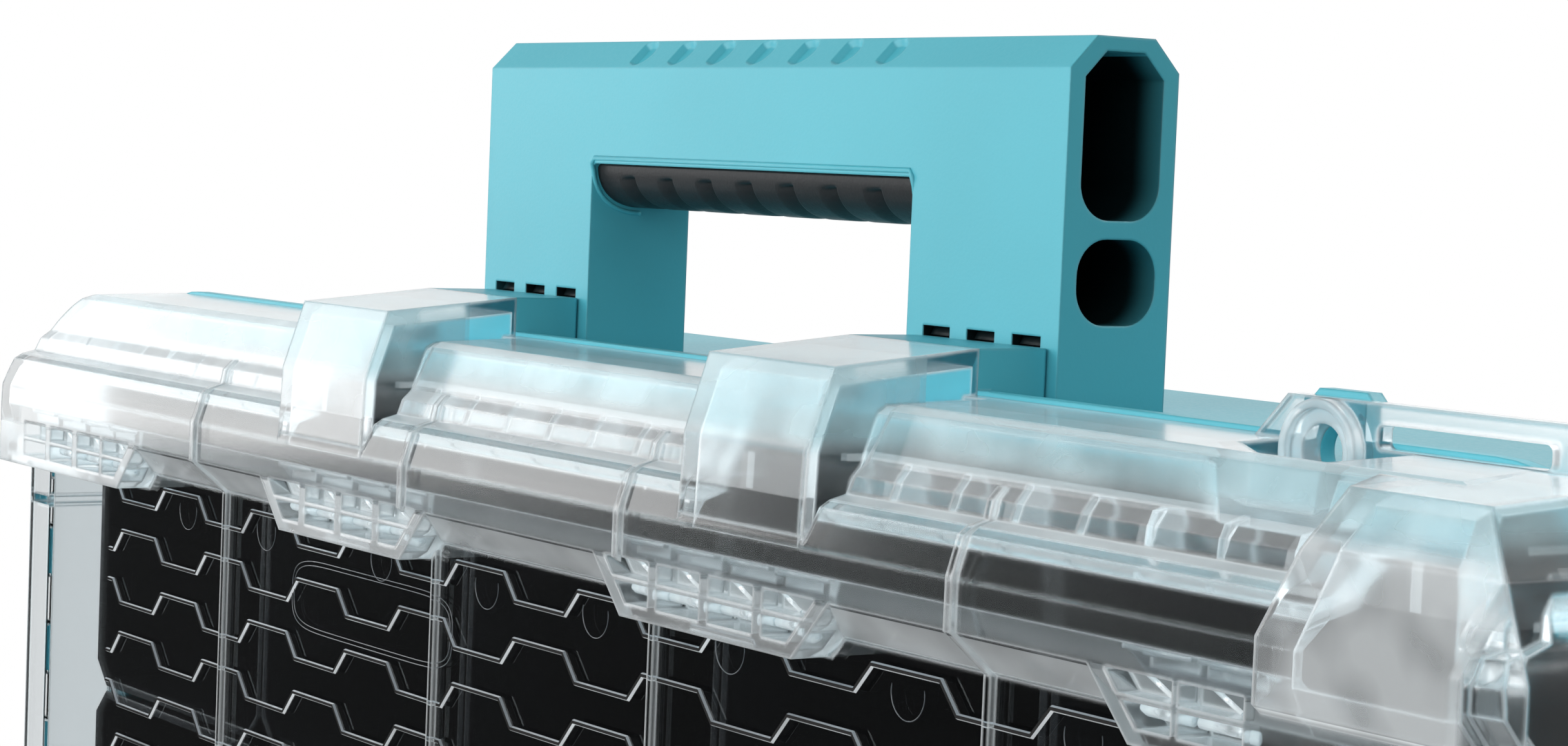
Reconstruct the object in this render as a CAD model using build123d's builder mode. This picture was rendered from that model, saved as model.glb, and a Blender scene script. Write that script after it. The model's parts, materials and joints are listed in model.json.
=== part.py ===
"""Saw blade storage case: a clear lid hinged on a moulded base, with a carrying handle and lift-out bins.

The case stands on its long edge with the handle up. X runs along the case, Y from the lid at the front to
the back of the base, Z up. The origin is under the middle of the case, on the plane that its feet stand on.
"""

import os
from build123d import *

os.makedirs("parts", exist_ok=True)

# ---- overall sizes ----
CASE_WIDTH = 392.0
CASE_DEPTH = 100.6
RIM_HEIGHT = 286.2  # from the ground to the top of the base's rim
FOOT_HEIGHT = 5.8
CORNER_RADIUS = 24.0

# ---- lid ----
LID_DEPTH = 20.9  # from the window's face back to the rim
BROW_STAND = 6.6  # how far the brow stands out of the window
CORNER_STAND = 8.0  # the guard at the latch end stands out the furthest
LID_WALL = 2.4
LID_DROP = 0.6  # the lid's top is this much lower than the rim behind it
FLANGE = 3.9  # thickness of the lid's rear flange at its two ends
FLANGE_INSET = 3.5
RUNG = 1.6
RUNG_CLEAR = 10.0  # from a latch's edge to the rung beyond it
RUNGS = 6  # between the two latches
END_WALL_INSET = 7.6  # the end walls stand this far in from the window's ends
BLOCK_INNER_INSET = 2.6  # the raised blocks are narrower than the handle's legs behind them
BLOCK_OUTER_INSET = 2.0
BLOCK_RISE = 6.2  # of a block's rear edge over the lid's top
BLOCK_FRONT_RISE = 3.8
TAB_TOP = 28.6  # half width of a trapezoid tab under the brow
TAB_FOOT = 20.8
TAB_CENTRE = 53.0
TAB_HEIGHT = 8.2
TAB_POST = 2.2  # between the four windows of a tab
TAB_WINDOW = 10.5
TAB_WINDOW_HEIGHT = 6.2
TAB_SIDE = 3.2  # between an outer window and the tab's slanting side
TAB_LEDGE_TOP = 2.6  # from the top of a tab's windows down to the ledge across them
TAB_LEDGE = 0.7
TAB_SHALLOW = 3.4  # depth of the windows over and under the ledge
TAB_DEEP = 5.2
LIP_HEIGHT = 31.4  # of the brow from the lid's top down to the window
GUARD_WIDTH = 35.0  # of the corner guard at the latch end
GUARD_SLANT = 10.5  # the guard's front edge leans away from the brow by this much
GUARD_SHOULDER = 8.6  # from the lid's top down to the guard's upright faces
GUARD_LEAN = 5.5  # how far the faces over the shoulder lean in
GUARD_CUT = 7.0  # bevel down the guard's outer edge: its width in front and at the end
GUARD_CUT_SIDE = 4.0
GUARD_DROP = 26.0
EYE_INSET = 52.9  # from the eye's middle to the end of the lid
NOTCH_WIDTH = 21.0  # the gap in the lid's top before the eye
NOTCH_LEFT = 10.0  # its front wall slants over this width
NOTCH_FRONT = 11.5  # from the window's face back to the gap's front wall, which slants
NOTCH_SLANT = 6.5
TAB_END_INSET = 64.0  # the tabs at the lid's ends reach in this far
NOTCH_DEPTH = 7.2
RIB_INNER = 31.5  # the window's upright ribs
RIB_OUTER = 107.0
RIB_WIDTH = 1.4
RIB_STAND = 0.8
GROOVE_DEPTH = 1.4  # of the tapering grooves beside the raised blocks
GROOVE_OUTER = 5.3  # a groove's width at the lid's top
GROOVE_INNER = 5.0
GROOVE_LENGTH = 19.0
CELL_PITCH = 12.2  # ribs inside the brow
CELL_RIB = 1.2

# ---- plate with an eye at the latch end ----
EYE_RADIUS = 6.2
EYE_BORE = 3.3
EYE_DROP = 1.1  # of the eye's middle under the lid's top
EYE_BOSS = 1.6  # the ring round the eye stands this far out of the plate
EYE_LIP = 1.1  # width of the ring's raised lip
EYE_DISH = 1.1  # how far the ring's face lies under its lip
PLATE_THICK = 2.4
PLATE_RISE = 5.2  # over the lid's top; its ends slant as much
PLATE_START = 11.8  # from the plate's foot to the eye's middle
PLATE_INSET = 10.0  # from the plate's other foot to the end of the lid
SLOT_START = 8.2  # from the eye's middle to the slot beside it
SLOT_LENGTH = 26.0
SLOT_GAP = 2.8

# ---- base ----
BASE_WALL = 2.6
BASE_INSET = 6.0  # the base's walls stand this far in from the lid's ends
RIM_THICK = 2.3
RIM_END_INSET = 5.0
RIM_STEP = 3.2  # the base's outer walls stand this far inside its rim
TONGUE_DEPTH = 3.4
TONGUE_THICK = 1.6
FIT_GAP = 0.4  # between a lid face and a base face that slide past each other
BACK_CHAMFER = 4.0
LUG_WIDTH = 10.2  # the rim's lug behind the lid's eye, with the same bore
LUG_GROOVE = 14.0  # the bore runs on behind it as a groove
LUG_DROP = 0.2  # its top is this much lower than the raised blocks
LUG_CHAMFER = 1.2
FOOT_WIDTH = 60.0
FOOT_LENGTH = 60.0
FOOT_INSET = 66.0  # from the window's end to a foot's middle

# ---- handle ----
HANDLE_WIDTH = 154.4
HANDLE_THICK = 19.1
HANDLE_BACK = 42.25  # from the window's face back to the handle's middle
HANDLE_RISE = 51.0  # heights of the handle's features over the base's top wall
HANDLE_CHAMFER = 4.5
HAND_WIDTH = 86.8
HAND_RISE = 31.0
HAND_RADIUS = 1.2
HANDLE_WALL = 2.6
CAVITY_RADIUS = 5.0
CAVITY_CHAMFER = 3.6
UPPER_CAVITY_TOP = 49.0
UPPER_CAVITY_LOW = 26.2
LOWER_CAVITY_TOP = 23.7
LOWER_CAVITY_LOW = 12.0
CAVITY_DEPTH = 68.0  # of the part that runs on into the bar
CRESCENTS = 7  # finger cuts in the bar's front top chamfer: each a disc with a flat on its left
CRESCENT_PITCH = 11.1
CRESCENT_RADIUS = 2.8
CRESCENT_FLAT = 1.9  # from the disc's middle to its flat
CRESCENT_DEPTH = 0.9
CRESCENT_TAPER = 38.0
CRESCENT_SHIFT = 0.5
CRESCENT_LIFT = 0.3
BAR_CORNER = 1.0  # radius in the corners of the bar's hollow
SLOT_WIDTH = 6.2
SLOT_HEIGHT = 1.5
SLOT_LOW = 8.8
SEAT_GAP = 0.4  # between a leg and the base's block in front of it
SLOT_PITCH = 10.0
HOOK_THICK = 2.0
HOOK_GAP = 0.15

# ---- grip ----
GRIP_DROP = 7.0
GRIP_INSET = 1.0  # the grip's faces stand this far inside the bar's
GRIP_RADIUS = 6.5
SCALLOPS = 7
SCALLOP_PITCH = 11.1
SCALLOP_RADIUS = 3.4

# ---- hinge ----
PIN_RADIUS = 1.5
PIN_GAP = 0.05  # running clearance round a pin
KNUCKLE_RADIUS = 3.5
KNUCKLE_LENGTH = 9.2
KNUCKLE_GAP = 0.5
HINGE_MARGIN = 29.6  # from a hinge's middle to the end of the lid's channel
HINGE_INSET = 3.0  # the pins' axis stands this far in from the window's end

# ---- latches ----
LATCH_WIDTH = 44.0
LATCH_MARGIN = 18.6  # from a latch's edge to the end of the lid's channel
LATCH_THICK = 2.6
LATCH_PIVOT_BACK = 6.4  # behind the rim's front face
LATCH_KNUCKLE = 2.8
LATCH_GAP = 0.35
LATCH_HOOK = 2.6  # how far a hook reaches over the lid's flange
LATCH_LIP = 2.3
LATCH_REACH = 15.6  # from the rim's front face forward to the finger edge
LATCH_EAR = 5.0

# ---- bins ----
BIN_COLUMNS = 5
BIN_SIDE = 2.5  # clearance of the outer columns past the base's rounded corners
BIN_GAP = 0.7
BIN_WALL = 1.5
BIN_CHAMFER = 4.6
BIN_DEPTH = 80.4
SMALL_BIN_LENGTH = 66.0
BIN_ROW_GAP = 1.0
BIN_CLEAR_TOP = 5.0  # under the base's top wall
BIN_CLEAR_LOW = 2.2

# ---- places worked out from the sizes ----
half = CASE_WIDTH / 2
window_y = CORNER_STAND - CASE_DEPTH / 2
rim_y = window_y + LID_DEPTH
back_y = CASE_DEPTH / 2
lid_top = RIM_HEIGHT - LID_DROP
lid_bottom = FOOT_HEIGHT + LID_DROP
mid_z = (RIM_HEIGHT + FOOT_HEIGHT) / 2
end_wall_x = half - END_WALL_INSET
flange_x = half - FLANGE_INSET
rim_x = half - RIM_END_INSET
base_x = half - BASE_INSET
base_top = RIM_HEIGHT - RIM_STEP
base_bottom = FOOT_HEIGHT + RIM_STEP
base_y = rim_y + RIM_THICK
handle_y = window_y + HANDLE_BACK
handle_top = base_top + HANDLE_RISE
hand_top = base_top + HAND_RISE
hinge_x = -(half - HINGE_INSET)
lip_z = lid_top - LIP_HEIGHT
channel_half = lip_z - mid_z - RUNG  # half the length of the channels at the lid's ends
hinge_centre = channel_half - HINGE_MARGIN
latch_centre = channel_half - LATCH_MARGIN - LATCH_WIDTH / 2
rung_outer = latch_centre + LATCH_WIDTH / 2 + RUNG_CLEAR
rung_inner = latch_centre - LATCH_WIDTH / 2 - LATCH_EAR - RUNG_CLEAR + RUNG / 2
block_low = base_top - BASE_WALL
rungs = [-rung_outer, rung_outer] + [rung_inner * (2 * i / (RUNGS - 1) - 1) for i in range(RUNGS)]
block_inner = HAND_WIDTH / 2 + BLOCK_INNER_INSET
block_outer = HANDLE_WIDTH / 2 - BLOCK_OUTER_INSET
block_mid = (block_inner + block_outer) / 2
eye_x = half - EYE_INSET
notch_start = eye_x - EYE_RADIUS - 0.6
notch_end = notch_start + NOTCH_LEFT
notch_last = notch_start + NOTCH_WIDTH
guard_x = half - GUARD_WIDTH
notch_z = lid_top - NOTCH_DEPTH
brow_y = window_y - BROW_STAND
eye_z = lid_top - EYE_DROP
plate_start = eye_x - PLATE_START
plate_end = half - PLATE_INSET
block_top = lid_top + BLOCK_RISE
lug_top = block_top - LUG_DROP
seat_y = handle_y - HANDLE_THICK / 2 - SEAT_GAP
hook_y = handle_y - HANDLE_THICK / 2 + HANDLE_WALL + HOOK_GAP
knuckle_pitch = KNUCKLE_LENGTH + KNUCKLE_GAP
knuckle_span = 5 * knuckle_pitch - KNUCKLE_GAP
knuckles = [
    [mid_z + side * hinge_centre + step * knuckle_pitch for step in range(-2, 3)] for side in (-1, 1)
]
lid_knuckles = [z for group in knuckles for z in group[0::2]]
base_knuckles = [z for group in knuckles for z in group[1::2]]
latch_x = half - LATCH_KNUCKLE
latch_y = rim_y + LATCH_PIVOT_BACK
latch_ears = [
    mid_z + side * latch_centre + end * (LATCH_WIDTH / 2 + LATCH_GAP + LATCH_EAR / 2)
    for side in (-1, 1)
    for end in (-1, 1)
]
arm_x = flange_x + LATCH_GAP
hook_depth = LATCH_HOOK + LATCH_GAP
hook_front_y = rim_y - FLANGE - LATCH_GAP - LATCH_LIP


def front_plane(y):
    """Plane that faces the front at depth y, with X to the right and Z up."""
    return Plane(origin=(0, y, 0), x_dir=(1, 0, 0), z_dir=(0, -1, 0))


def lid_section(steps):
    """Closed section of the lid or its hollow: the same steps from the top edge and from the bottom edge."""
    upper = [(window_y + out, lid_top - down) for out, down in steps]
    lower = [(window_y + out, lid_bottom + down) for out, down in reversed(steps)]
    Polyline(*upper, *lower, close=True)


def notch_outline(wall):
    """Plan of the gaps beside the eye, with this much wall round them."""
    Polyline(
        (notch_start - wall, rim_y + 1), (notch_start - wall, window_y + NOTCH_FRONT - wall / 2),
        (notch_end - wall / 2, window_y + NOTCH_FRONT - NOTCH_SLANT - wall),
        (notch_last + wall, window_y + NOTCH_FRONT - NOTCH_SLANT - wall), (notch_last + wall, rim_y + 1),
        close=True,
    )


# ---- lid: its hollow first, then the shell that it is taken from ----
brow_steps = [
    (LID_DEPTH, 0.0),
    (4.6, 0.7),
    (3.2, 1.6),
    (0.8, 8.4),
    (-0.7, 10.0),
    (-1.2, 12.4),
    (-3.6, 13.1),
    (-5.0, 14.1),
    (-BROW_STAND, 19.1),
    (-BROW_STAND, LIP_HEIGHT - 5.6),
    (0.0, LIP_HEIGHT),
]
hollow_steps = [
    (LID_DEPTH + 1.0, LID_WALL),
    (5.9, LID_WALL + 0.6),
    (3.3, 9.4),
    (1.4, 12.6),
    (1.2, 15.2),
    (-2.4, 16.4),
    (LID_WALL - BROW_STAND, 19.8),
    (LID_WALL - BROW_STAND, LIP_HEIGHT - 8.6),
    (LID_WALL, LIP_HEIGHT - 2.0),
    (LID_WALL, LIP_HEIGHT + 1.0),
]
with BuildPart() as lid_hollow:
    with BuildSketch(Plane.YZ.offset(-half)):
        with BuildLine():
            lid_section(hollow_steps)
        make_face()
    extrude(amount=CASE_WIDTH)
    with BuildSketch(front_plane(rim_y + 1.0)):
        with Locations((0, mid_z)):
            RectangleRounded(
                CASE_WIDTH - 2 * LID_WALL, lid_top - lid_bottom - 2 * LID_WALL, CORNER_RADIUS - LID_WALL
            )
    extrude(amount=LID_DEPTH + BROW_STAND, mode=Mode.INTERSECT)
    # between the brows the hollow stops at the end walls, which stand in from the window's ends
    with Locations((-half, 0, mid_z), (half, 0, mid_z)):
        Box(
            2 * (END_WALL_INSET + LID_WALL), 2 * CASE_DEPTH, 2 * (lip_z - mid_z) - 2 * LID_WALL,
            mode=Mode.SUBTRACT,
        )
    # and round the gaps beside the eye
    with BuildSketch(Plane.XY.offset(notch_z - LID_WALL)):
        with BuildLine():
            notch_outline(LID_WALL)
        make_face()
    extrude(amount=2 * NOTCH_DEPTH, mode=Mode.SUBTRACT)

block_steps = [
    (LID_DEPTH, BLOCK_RISE),
    (-2.5, BLOCK_FRONT_RISE),
    (-6.1, -7.0),
    (-BROW_STAND, -18.0),
    (LID_DEPTH, -18.0),
]
block_hollow_steps = [
    (LID_DEPTH + 1.0, BLOCK_RISE - LID_WALL),
    (-0.6, BLOCK_FRONT_RISE - LID_WALL),
    (-3.7, -7.4),
    (LID_WALL - BROW_STAND, -21.0),
    (LID_DEPTH + 1.0, -21.0),
]
guard_steps = [
    (LID_DEPTH, 0.0),
    (-5.5, -1.6),
    (-CORNER_STAND, -GUARD_SHOULDER),
    (-CORNER_STAND, -GUARD_DROP),
    (0.0, -LIP_HEIGHT - 1.0),
    (LID_DEPTH, -LIP_HEIGHT - 1.0),
]
guard_outline = [
    (notch_last, 0.0),
    (half - GUARD_LEAN, 0.0),
    (half, -GUARD_SHOULDER),
    (half, -LIP_HEIGHT - 1.0),
    (guard_x, -LIP_HEIGHT - 1.0),
    (guard_x, -18.6),
    (guard_x + GUARD_SLANT, -1.6),
]
guard_hollow_steps = [
    (LID_DEPTH - LID_WALL, -LID_WALL),
    (LID_WALL - 5.0, -1.6 - LID_WALL),
    (LID_WALL - CORNER_STAND, -GUARD_SHOULDER),
    (LID_WALL - CORNER_STAND, LID_WALL - GUARD_DROP),
    (LID_WALL, -LIP_HEIGHT),
    (LID_DEPTH - LID_WALL, -LIP_HEIGHT),
]
guard_hollow_outline = [
    (guard_x + GUARD_SLANT + LID_WALL, -LID_WALL),
    (half - GUARD_LEAN - LID_WALL, -LID_WALL),
    (half - GUARD_CUT, -GUARD_SHOULDER - LID_WALL),
    (half - GUARD_CUT, LID_WALL - LIP_HEIGHT),
    (guard_x + 2 * LID_WALL, LID_WALL - LIP_HEIGHT),
    (guard_x + 2 * LID_WALL, -19.6),
    (guard_x + GUARD_SLANT + LID_WALL, -4.6),
]


# the guard at both corners of the end that opens, and its hollow: a side section cut to a front outline
corner_parts = []
for steps, outline in ((guard_steps, guard_outline), (guard_hollow_steps, guard_hollow_outline)):
    with BuildPart() as corner_part:
        with BuildSketch(Plane.YZ.offset(notch_end)):
            for level, way in ((lid_top, 1), (lid_bottom, -1)):
                with BuildLine():
                    Polyline(*[(window_y + out, level + way * up) for out, up in steps], close=True)
                make_face()
        extrude(amount=half - notch_end)
        with BuildSketch(front_plane(rim_y)):
            for level, way in ((lid_top, 1), (lid_bottom, -1)):
                with BuildLine():
                    Polyline(*[(x, level + way * up) for x, up in outline], close=True)
                make_face()
        extrude(amount=LID_DEPTH + CORNER_STAND, mode=Mode.INTERSECT)
    corner_parts.append(corner_part.part)
guard_solid, guard_hollow = corner_parts

with BuildPart() as corner_cut:
    # bevel down the guard's outer edge, running out at the shoulder
    front = window_y - CORNER_STAND
    cut_top = lid_top - GUARD_SHOULDER
    cut_full = cut_top - 1.5 * GUARD_CUT
    for level, share in ((cut_full, 1.0), (cut_top, 0.05)):
        with BuildSketch(Plane.XY.offset(level)):
            with BuildLine():
                Polyline(
                    (half - GUARD_CUT * share, front), (half, front + GUARD_CUT_SIDE * share),
                    (half + GUARD_CUT, front), (half, front - GUARD_CUT), close=True,
                )
            make_face()
    loft()
    with BuildSketch(Plane.XY.offset(cut_full)):
        with BuildLine():
            Polyline(
                (half - GUARD_CUT, front), (half, front + GUARD_CUT_SIDE),
                (half + GUARD_CUT, front), (half, front - GUARD_CUT), close=True,
            )
        make_face()
    extrude(amount=-(cut_full - lip_z + 2))
    mirror(about=Plane.XY.offset(mid_z))

with BuildPart() as lid_core:
    # the lid's outer shape less the depth of the grooves beside the raised blocks
    with BuildSketch(Plane.YZ.offset(-half)):
        with BuildLine():
            lid_section([(out + GROOVE_DEPTH, down + GROOVE_DEPTH / 2) for out, down in brow_steps])
        make_face()
    extrude(amount=CASE_WIDTH)

with BuildPart() as grooves:
    with BuildSketch(front_plane(rim_y - LID_WALL)):
        for side in (-1, 1):
            for edge, reach in ((block_outer, GROOVE_OUTER), (block_inner, -GROOVE_INNER)):
                with BuildLine():
                    Polyline(
                        (side * (edge - reach), lid_top + 1), (side * (edge + reach), lid_top + 1),
                        (side * edge, lid_top - GROOVE_LENGTH), close=True,
                    )
                make_face()
    extrude(amount=LID_DEPTH + BROW_STAND)
    add(lid_core.part, mode=Mode.SUBTRACT)

with BuildPart() as brow_ribs:
    # the window's upright ribs carry on up the brow
    with BuildSketch(Plane.YZ.offset(-half)):
        with BuildLine():
            lid_section([(out - RIB_STAND, down) for out, down in brow_steps])
        make_face()
    extrude(amount=CASE_WIDTH)
    with BuildSketch(front_plane(window_y + LID_WALL)):
        with Locations((0, mid_z)):
            for low in (8.4 - lid_top + mid_z, lid_top - mid_z - LIP_HEIGHT - RIB_WIDTH):
                with Locations((0, low + (LIP_HEIGHT + RIB_WIDTH - 8.4) / 2)):
                    with GridLocations(2 * RIB_OUTER, 1, 2, 1):
                        Rectangle(RIB_WIDTH, LIP_HEIGHT + RIB_WIDTH - 8.4)
                    with GridLocations(2 * RIB_INNER, 1, 2, 1):
                        Rectangle(RIB_WIDTH, LIP_HEIGHT + RIB_WIDTH - 8.4)
    extrude(amount=BROW_STAND + 2 * LID_WALL, mode=Mode.INTERSECT)

tab_z = lid_top - LIP_HEIGHT + 5.6
tab_slope = (TAB_TOP - TAB_FOOT) / TAB_HEIGHT
tab_corner = TAB_TOP - TAB_WINDOW - 1.5 * TAB_POST
tab_inner = half - TAB_END_INSET
tab_ends = [(side * TAB_CENTRE + way * TAB_TOP, way) for side in (-1, 1) for way in (-1, 1)]
tab_ends += [(-tab_inner, 1), (tab_inner, -1)]
tab_pitch = TAB_WINDOW + TAB_POST
tab_windows = [side * TAB_CENTRE + way * tab_pitch / 2 for side in (-1, 1) for way in (-1, 1)]
tab_windows += [-tab_inner - tab_corner - (i + 0.5) * tab_pitch for i in range(3)]
tab_windows += [tab_inner + tab_corner + 0.5 * tab_pitch]
with BuildPart() as lid:
    with BuildSketch(Plane.YZ.offset(-half)):
        with BuildLine():
            lid_section(brow_steps)
        make_face()
    extrude(amount=CASE_WIDTH)
    with BuildSketch(front_plane(rim_y)):
        with Locations((0, mid_z)):
            RectangleRounded(CASE_WIDTH, lid_top - lid_bottom, CORNER_RADIUS)
    extrude(amount=LID_DEPTH + BROW_STAND, mode=Mode.INTERSECT)
    add(grooves.part, mode=Mode.SUBTRACT)
    add(brow_ribs.part)
    # raised blocks in front of the handle's legs
    for start in (-block_outer, block_inner):
        with BuildSketch(Plane.YZ.offset(start)):
            with BuildLine():
                Polyline(*[(window_y + out, lid_top + up) for out, up in block_steps], close=True)
            make_face()
        extrude(amount=block_outer - block_inner)
    # tabs that hang from the brow over the window
    with BuildSketch(front_plane(window_y)):
        for centre in (-TAB_CENTRE, TAB_CENTRE):
            with BuildLine():
                Polyline(
                    (centre - TAB_TOP, tab_z), (centre + TAB_TOP, tab_z),
                    (centre + TAB_FOOT, tab_z - TAB_HEIGHT), (centre - TAB_FOOT, tab_z - TAB_HEIGHT),
                    close=True,
                )
            make_face()
        for side in (-1, 1):
            with BuildLine():
                Polyline(
                    (side * half, tab_z), (side * (half - TAB_END_INSET), tab_z),
                    (side * (half - TAB_END_INSET + TAB_TOP - TAB_FOOT), tab_z - TAB_HEIGHT),
                    (side * half, tab_z - TAB_HEIGHT), close=True,
                )
            make_face()
    extrude(amount=BROW_STAND)
    # upright ribs on the window
    with Locations(*[(x, window_y, mid_z) for x in (-RIB_OUTER, -RIB_INNER, RIB_INNER, RIB_OUTER)]):
        Box(RIB_WIDTH, 2 * RIB_STAND, 2 * (lip_z - mid_z) + RIB_WIDTH)
    add(guard_solid)
    add(corner_cut.part, mode=Mode.SUBTRACT)
    add(lid_hollow.part, mode=Mode.SUBTRACT)
    add(guard_hollow, mode=Mode.SUBTRACT)
    # short ribs inside the brow, behind its sloping front
    with Locations((0, window_y + 3.8, lid_top - 10.9)):
        with GridLocations(CELL_PITCH, 1, int(2 * (notch_start - LID_WALL) / CELL_PITCH), 1):
            Box(CELL_RIB, 5.2, 4.6)
    for start in (-block_outer, block_inner):
        with BuildSketch(Plane.YZ.offset(start + LID_WALL)):
            with BuildLine():
                Polyline(*[(window_y + out, lid_top + up) for out, up in block_hollow_steps], close=True)
            make_face()
        extrude(amount=block_outer - block_inner - 2 * LID_WALL, mode=Mode.SUBTRACT)
    # windows in the tabs: a shallow one over a deep one, with a ledge between them
    for high, low, depth in (
        (0, TAB_LEDGE_TOP, TAB_SHALLOW), (TAB_LEDGE_TOP + TAB_LEDGE, TAB_WINDOW_HEIGHT, TAB_DEEP),
    ):
        with BuildSketch(front_plane(window_y - BROW_STAND)):
            with Locations(*[(x, tab_z - (high + low) / 2) for x in tab_windows]):
                Rectangle(TAB_WINDOW, low - high)
            # the outer windows slant with the tab's sides
            for x, way in tab_ends:
                with BuildLine():
                    Polyline(
                        (x - way * tab_corner, tab_z - high),
                        (x - way * (TAB_SIDE + tab_slope * high), tab_z - high),
                        (x - way * (TAB_SIDE + tab_slope * low), tab_z - low),
                        (x - way * tab_corner, tab_z - low), close=True,
                    )
                make_face()
        extrude(amount=-depth, mode=Mode.SUBTRACT)
    # open channels outside the end walls, crossed by rungs, with a flange behind them
    for side in (-1, 1):
        with BuildSketch(Plane.YZ.offset(side * half)):
            with Locations((window_y + (LID_WALL + LID_DEPTH - FLANGE) / 2, mid_z)):
                Rectangle(LID_DEPTH - FLANGE - LID_WALL, 2 * channel_half)
            for place in rungs:
                with Locations((window_y + LID_DEPTH / 2, mid_z + place)):
                    Rectangle(LID_DEPTH, RUNG, mode=Mode.SUBTRACT)
        extrude(amount=-side * END_WALL_INSET, mode=Mode.SUBTRACT)
        with Locations((side * half, rim_y, mid_z)):
            Box(2 * FLANGE_INSET, 2 * FLANGE, 2 * channel_half, mode=Mode.SUBTRACT)
    # gap in the top before the eye
    with BuildSketch(Plane.XY.offset(notch_z)):
        with BuildLine():
            notch_outline(0)
        make_face()
    extrude(amount=2 * NOTCH_DEPTH, mode=Mode.SUBTRACT)
    # plate along the lid's back edge, with a ring round its eye and a slot beside it
    with BuildSketch(front_plane(rim_y)):
        with BuildLine():
            Polyline(
                (plate_start - LID_WALL, lid_top - LID_WALL), (plate_start, lid_top),
                (plate_start + PLATE_RISE, lid_top + PLATE_RISE),
                (plate_end - PLATE_RISE, lid_top + PLATE_RISE), (plate_end, lid_top),
                (plate_end, lid_top - LID_WALL), close=True,
            )
        make_face()
        with Locations((notch_start + NOTCH_WIDTH / 2, (notch_z + lid_top) / 2)):
            Rectangle(NOTCH_WIDTH + LID_WALL, lid_top - notch_z + LID_WALL)
        with Locations((eye_x + SLOT_START + SLOT_LENGTH / 2, lid_top + SLOT_GAP / 2)):
            RectangleRounded(SLOT_LENGTH, SLOT_GAP, SLOT_GAP / 3, mode=Mode.SUBTRACT)
    extrude(amount=PLATE_THICK)
    with BuildSketch(front_plane(rim_y)):
        with Locations((eye_x, eye_z)):
            Circle(EYE_RADIUS)
    extrude(amount=PLATE_THICK + EYE_BOSS)
    with BuildSketch(front_plane(rim_y - PLATE_THICK - EYE_BOSS + EYE_DISH)):
        with Locations((eye_x, eye_z)):
            Circle(EYE_RADIUS - EYE_LIP)
    extrude(amount=EYE_DISH, mode=Mode.SUBTRACT)
    with BuildSketch(front_plane(rim_y + LID_WALL)):
        with Locations((eye_x, eye_z)):
            Circle(EYE_BORE)
    extrude(amount=PLATE_THICK + EYE_BOSS + 2 * LID_WALL, mode=Mode.SUBTRACT)
    # hinge: room for the base's knuckles, then the lid's own, then the bore for the pin
    with Locations(*[(hinge_x, rim_y, z) for z in base_knuckles]):
        Cylinder(KNUCKLE_RADIUS + 2 * KNUCKLE_GAP, KNUCKLE_LENGTH + 2 * KNUCKLE_GAP, mode=Mode.SUBTRACT)
    with Locations(*[(hinge_x, rim_y, z) for z in lid_knuckles]):
        Cylinder(KNUCKLE_RADIUS, KNUCKLE_LENGTH)
    with Locations((hinge_x, rim_y, mid_z - hinge_centre), (hinge_x, rim_y, mid_z + hinge_centre)):
        Cylinder(PIN_RADIUS + PIN_GAP, knuckle_span, mode=Mode.SUBTRACT)
lid.part.label = "lid"
export_step(lid.part, "parts/lid.step")

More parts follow.
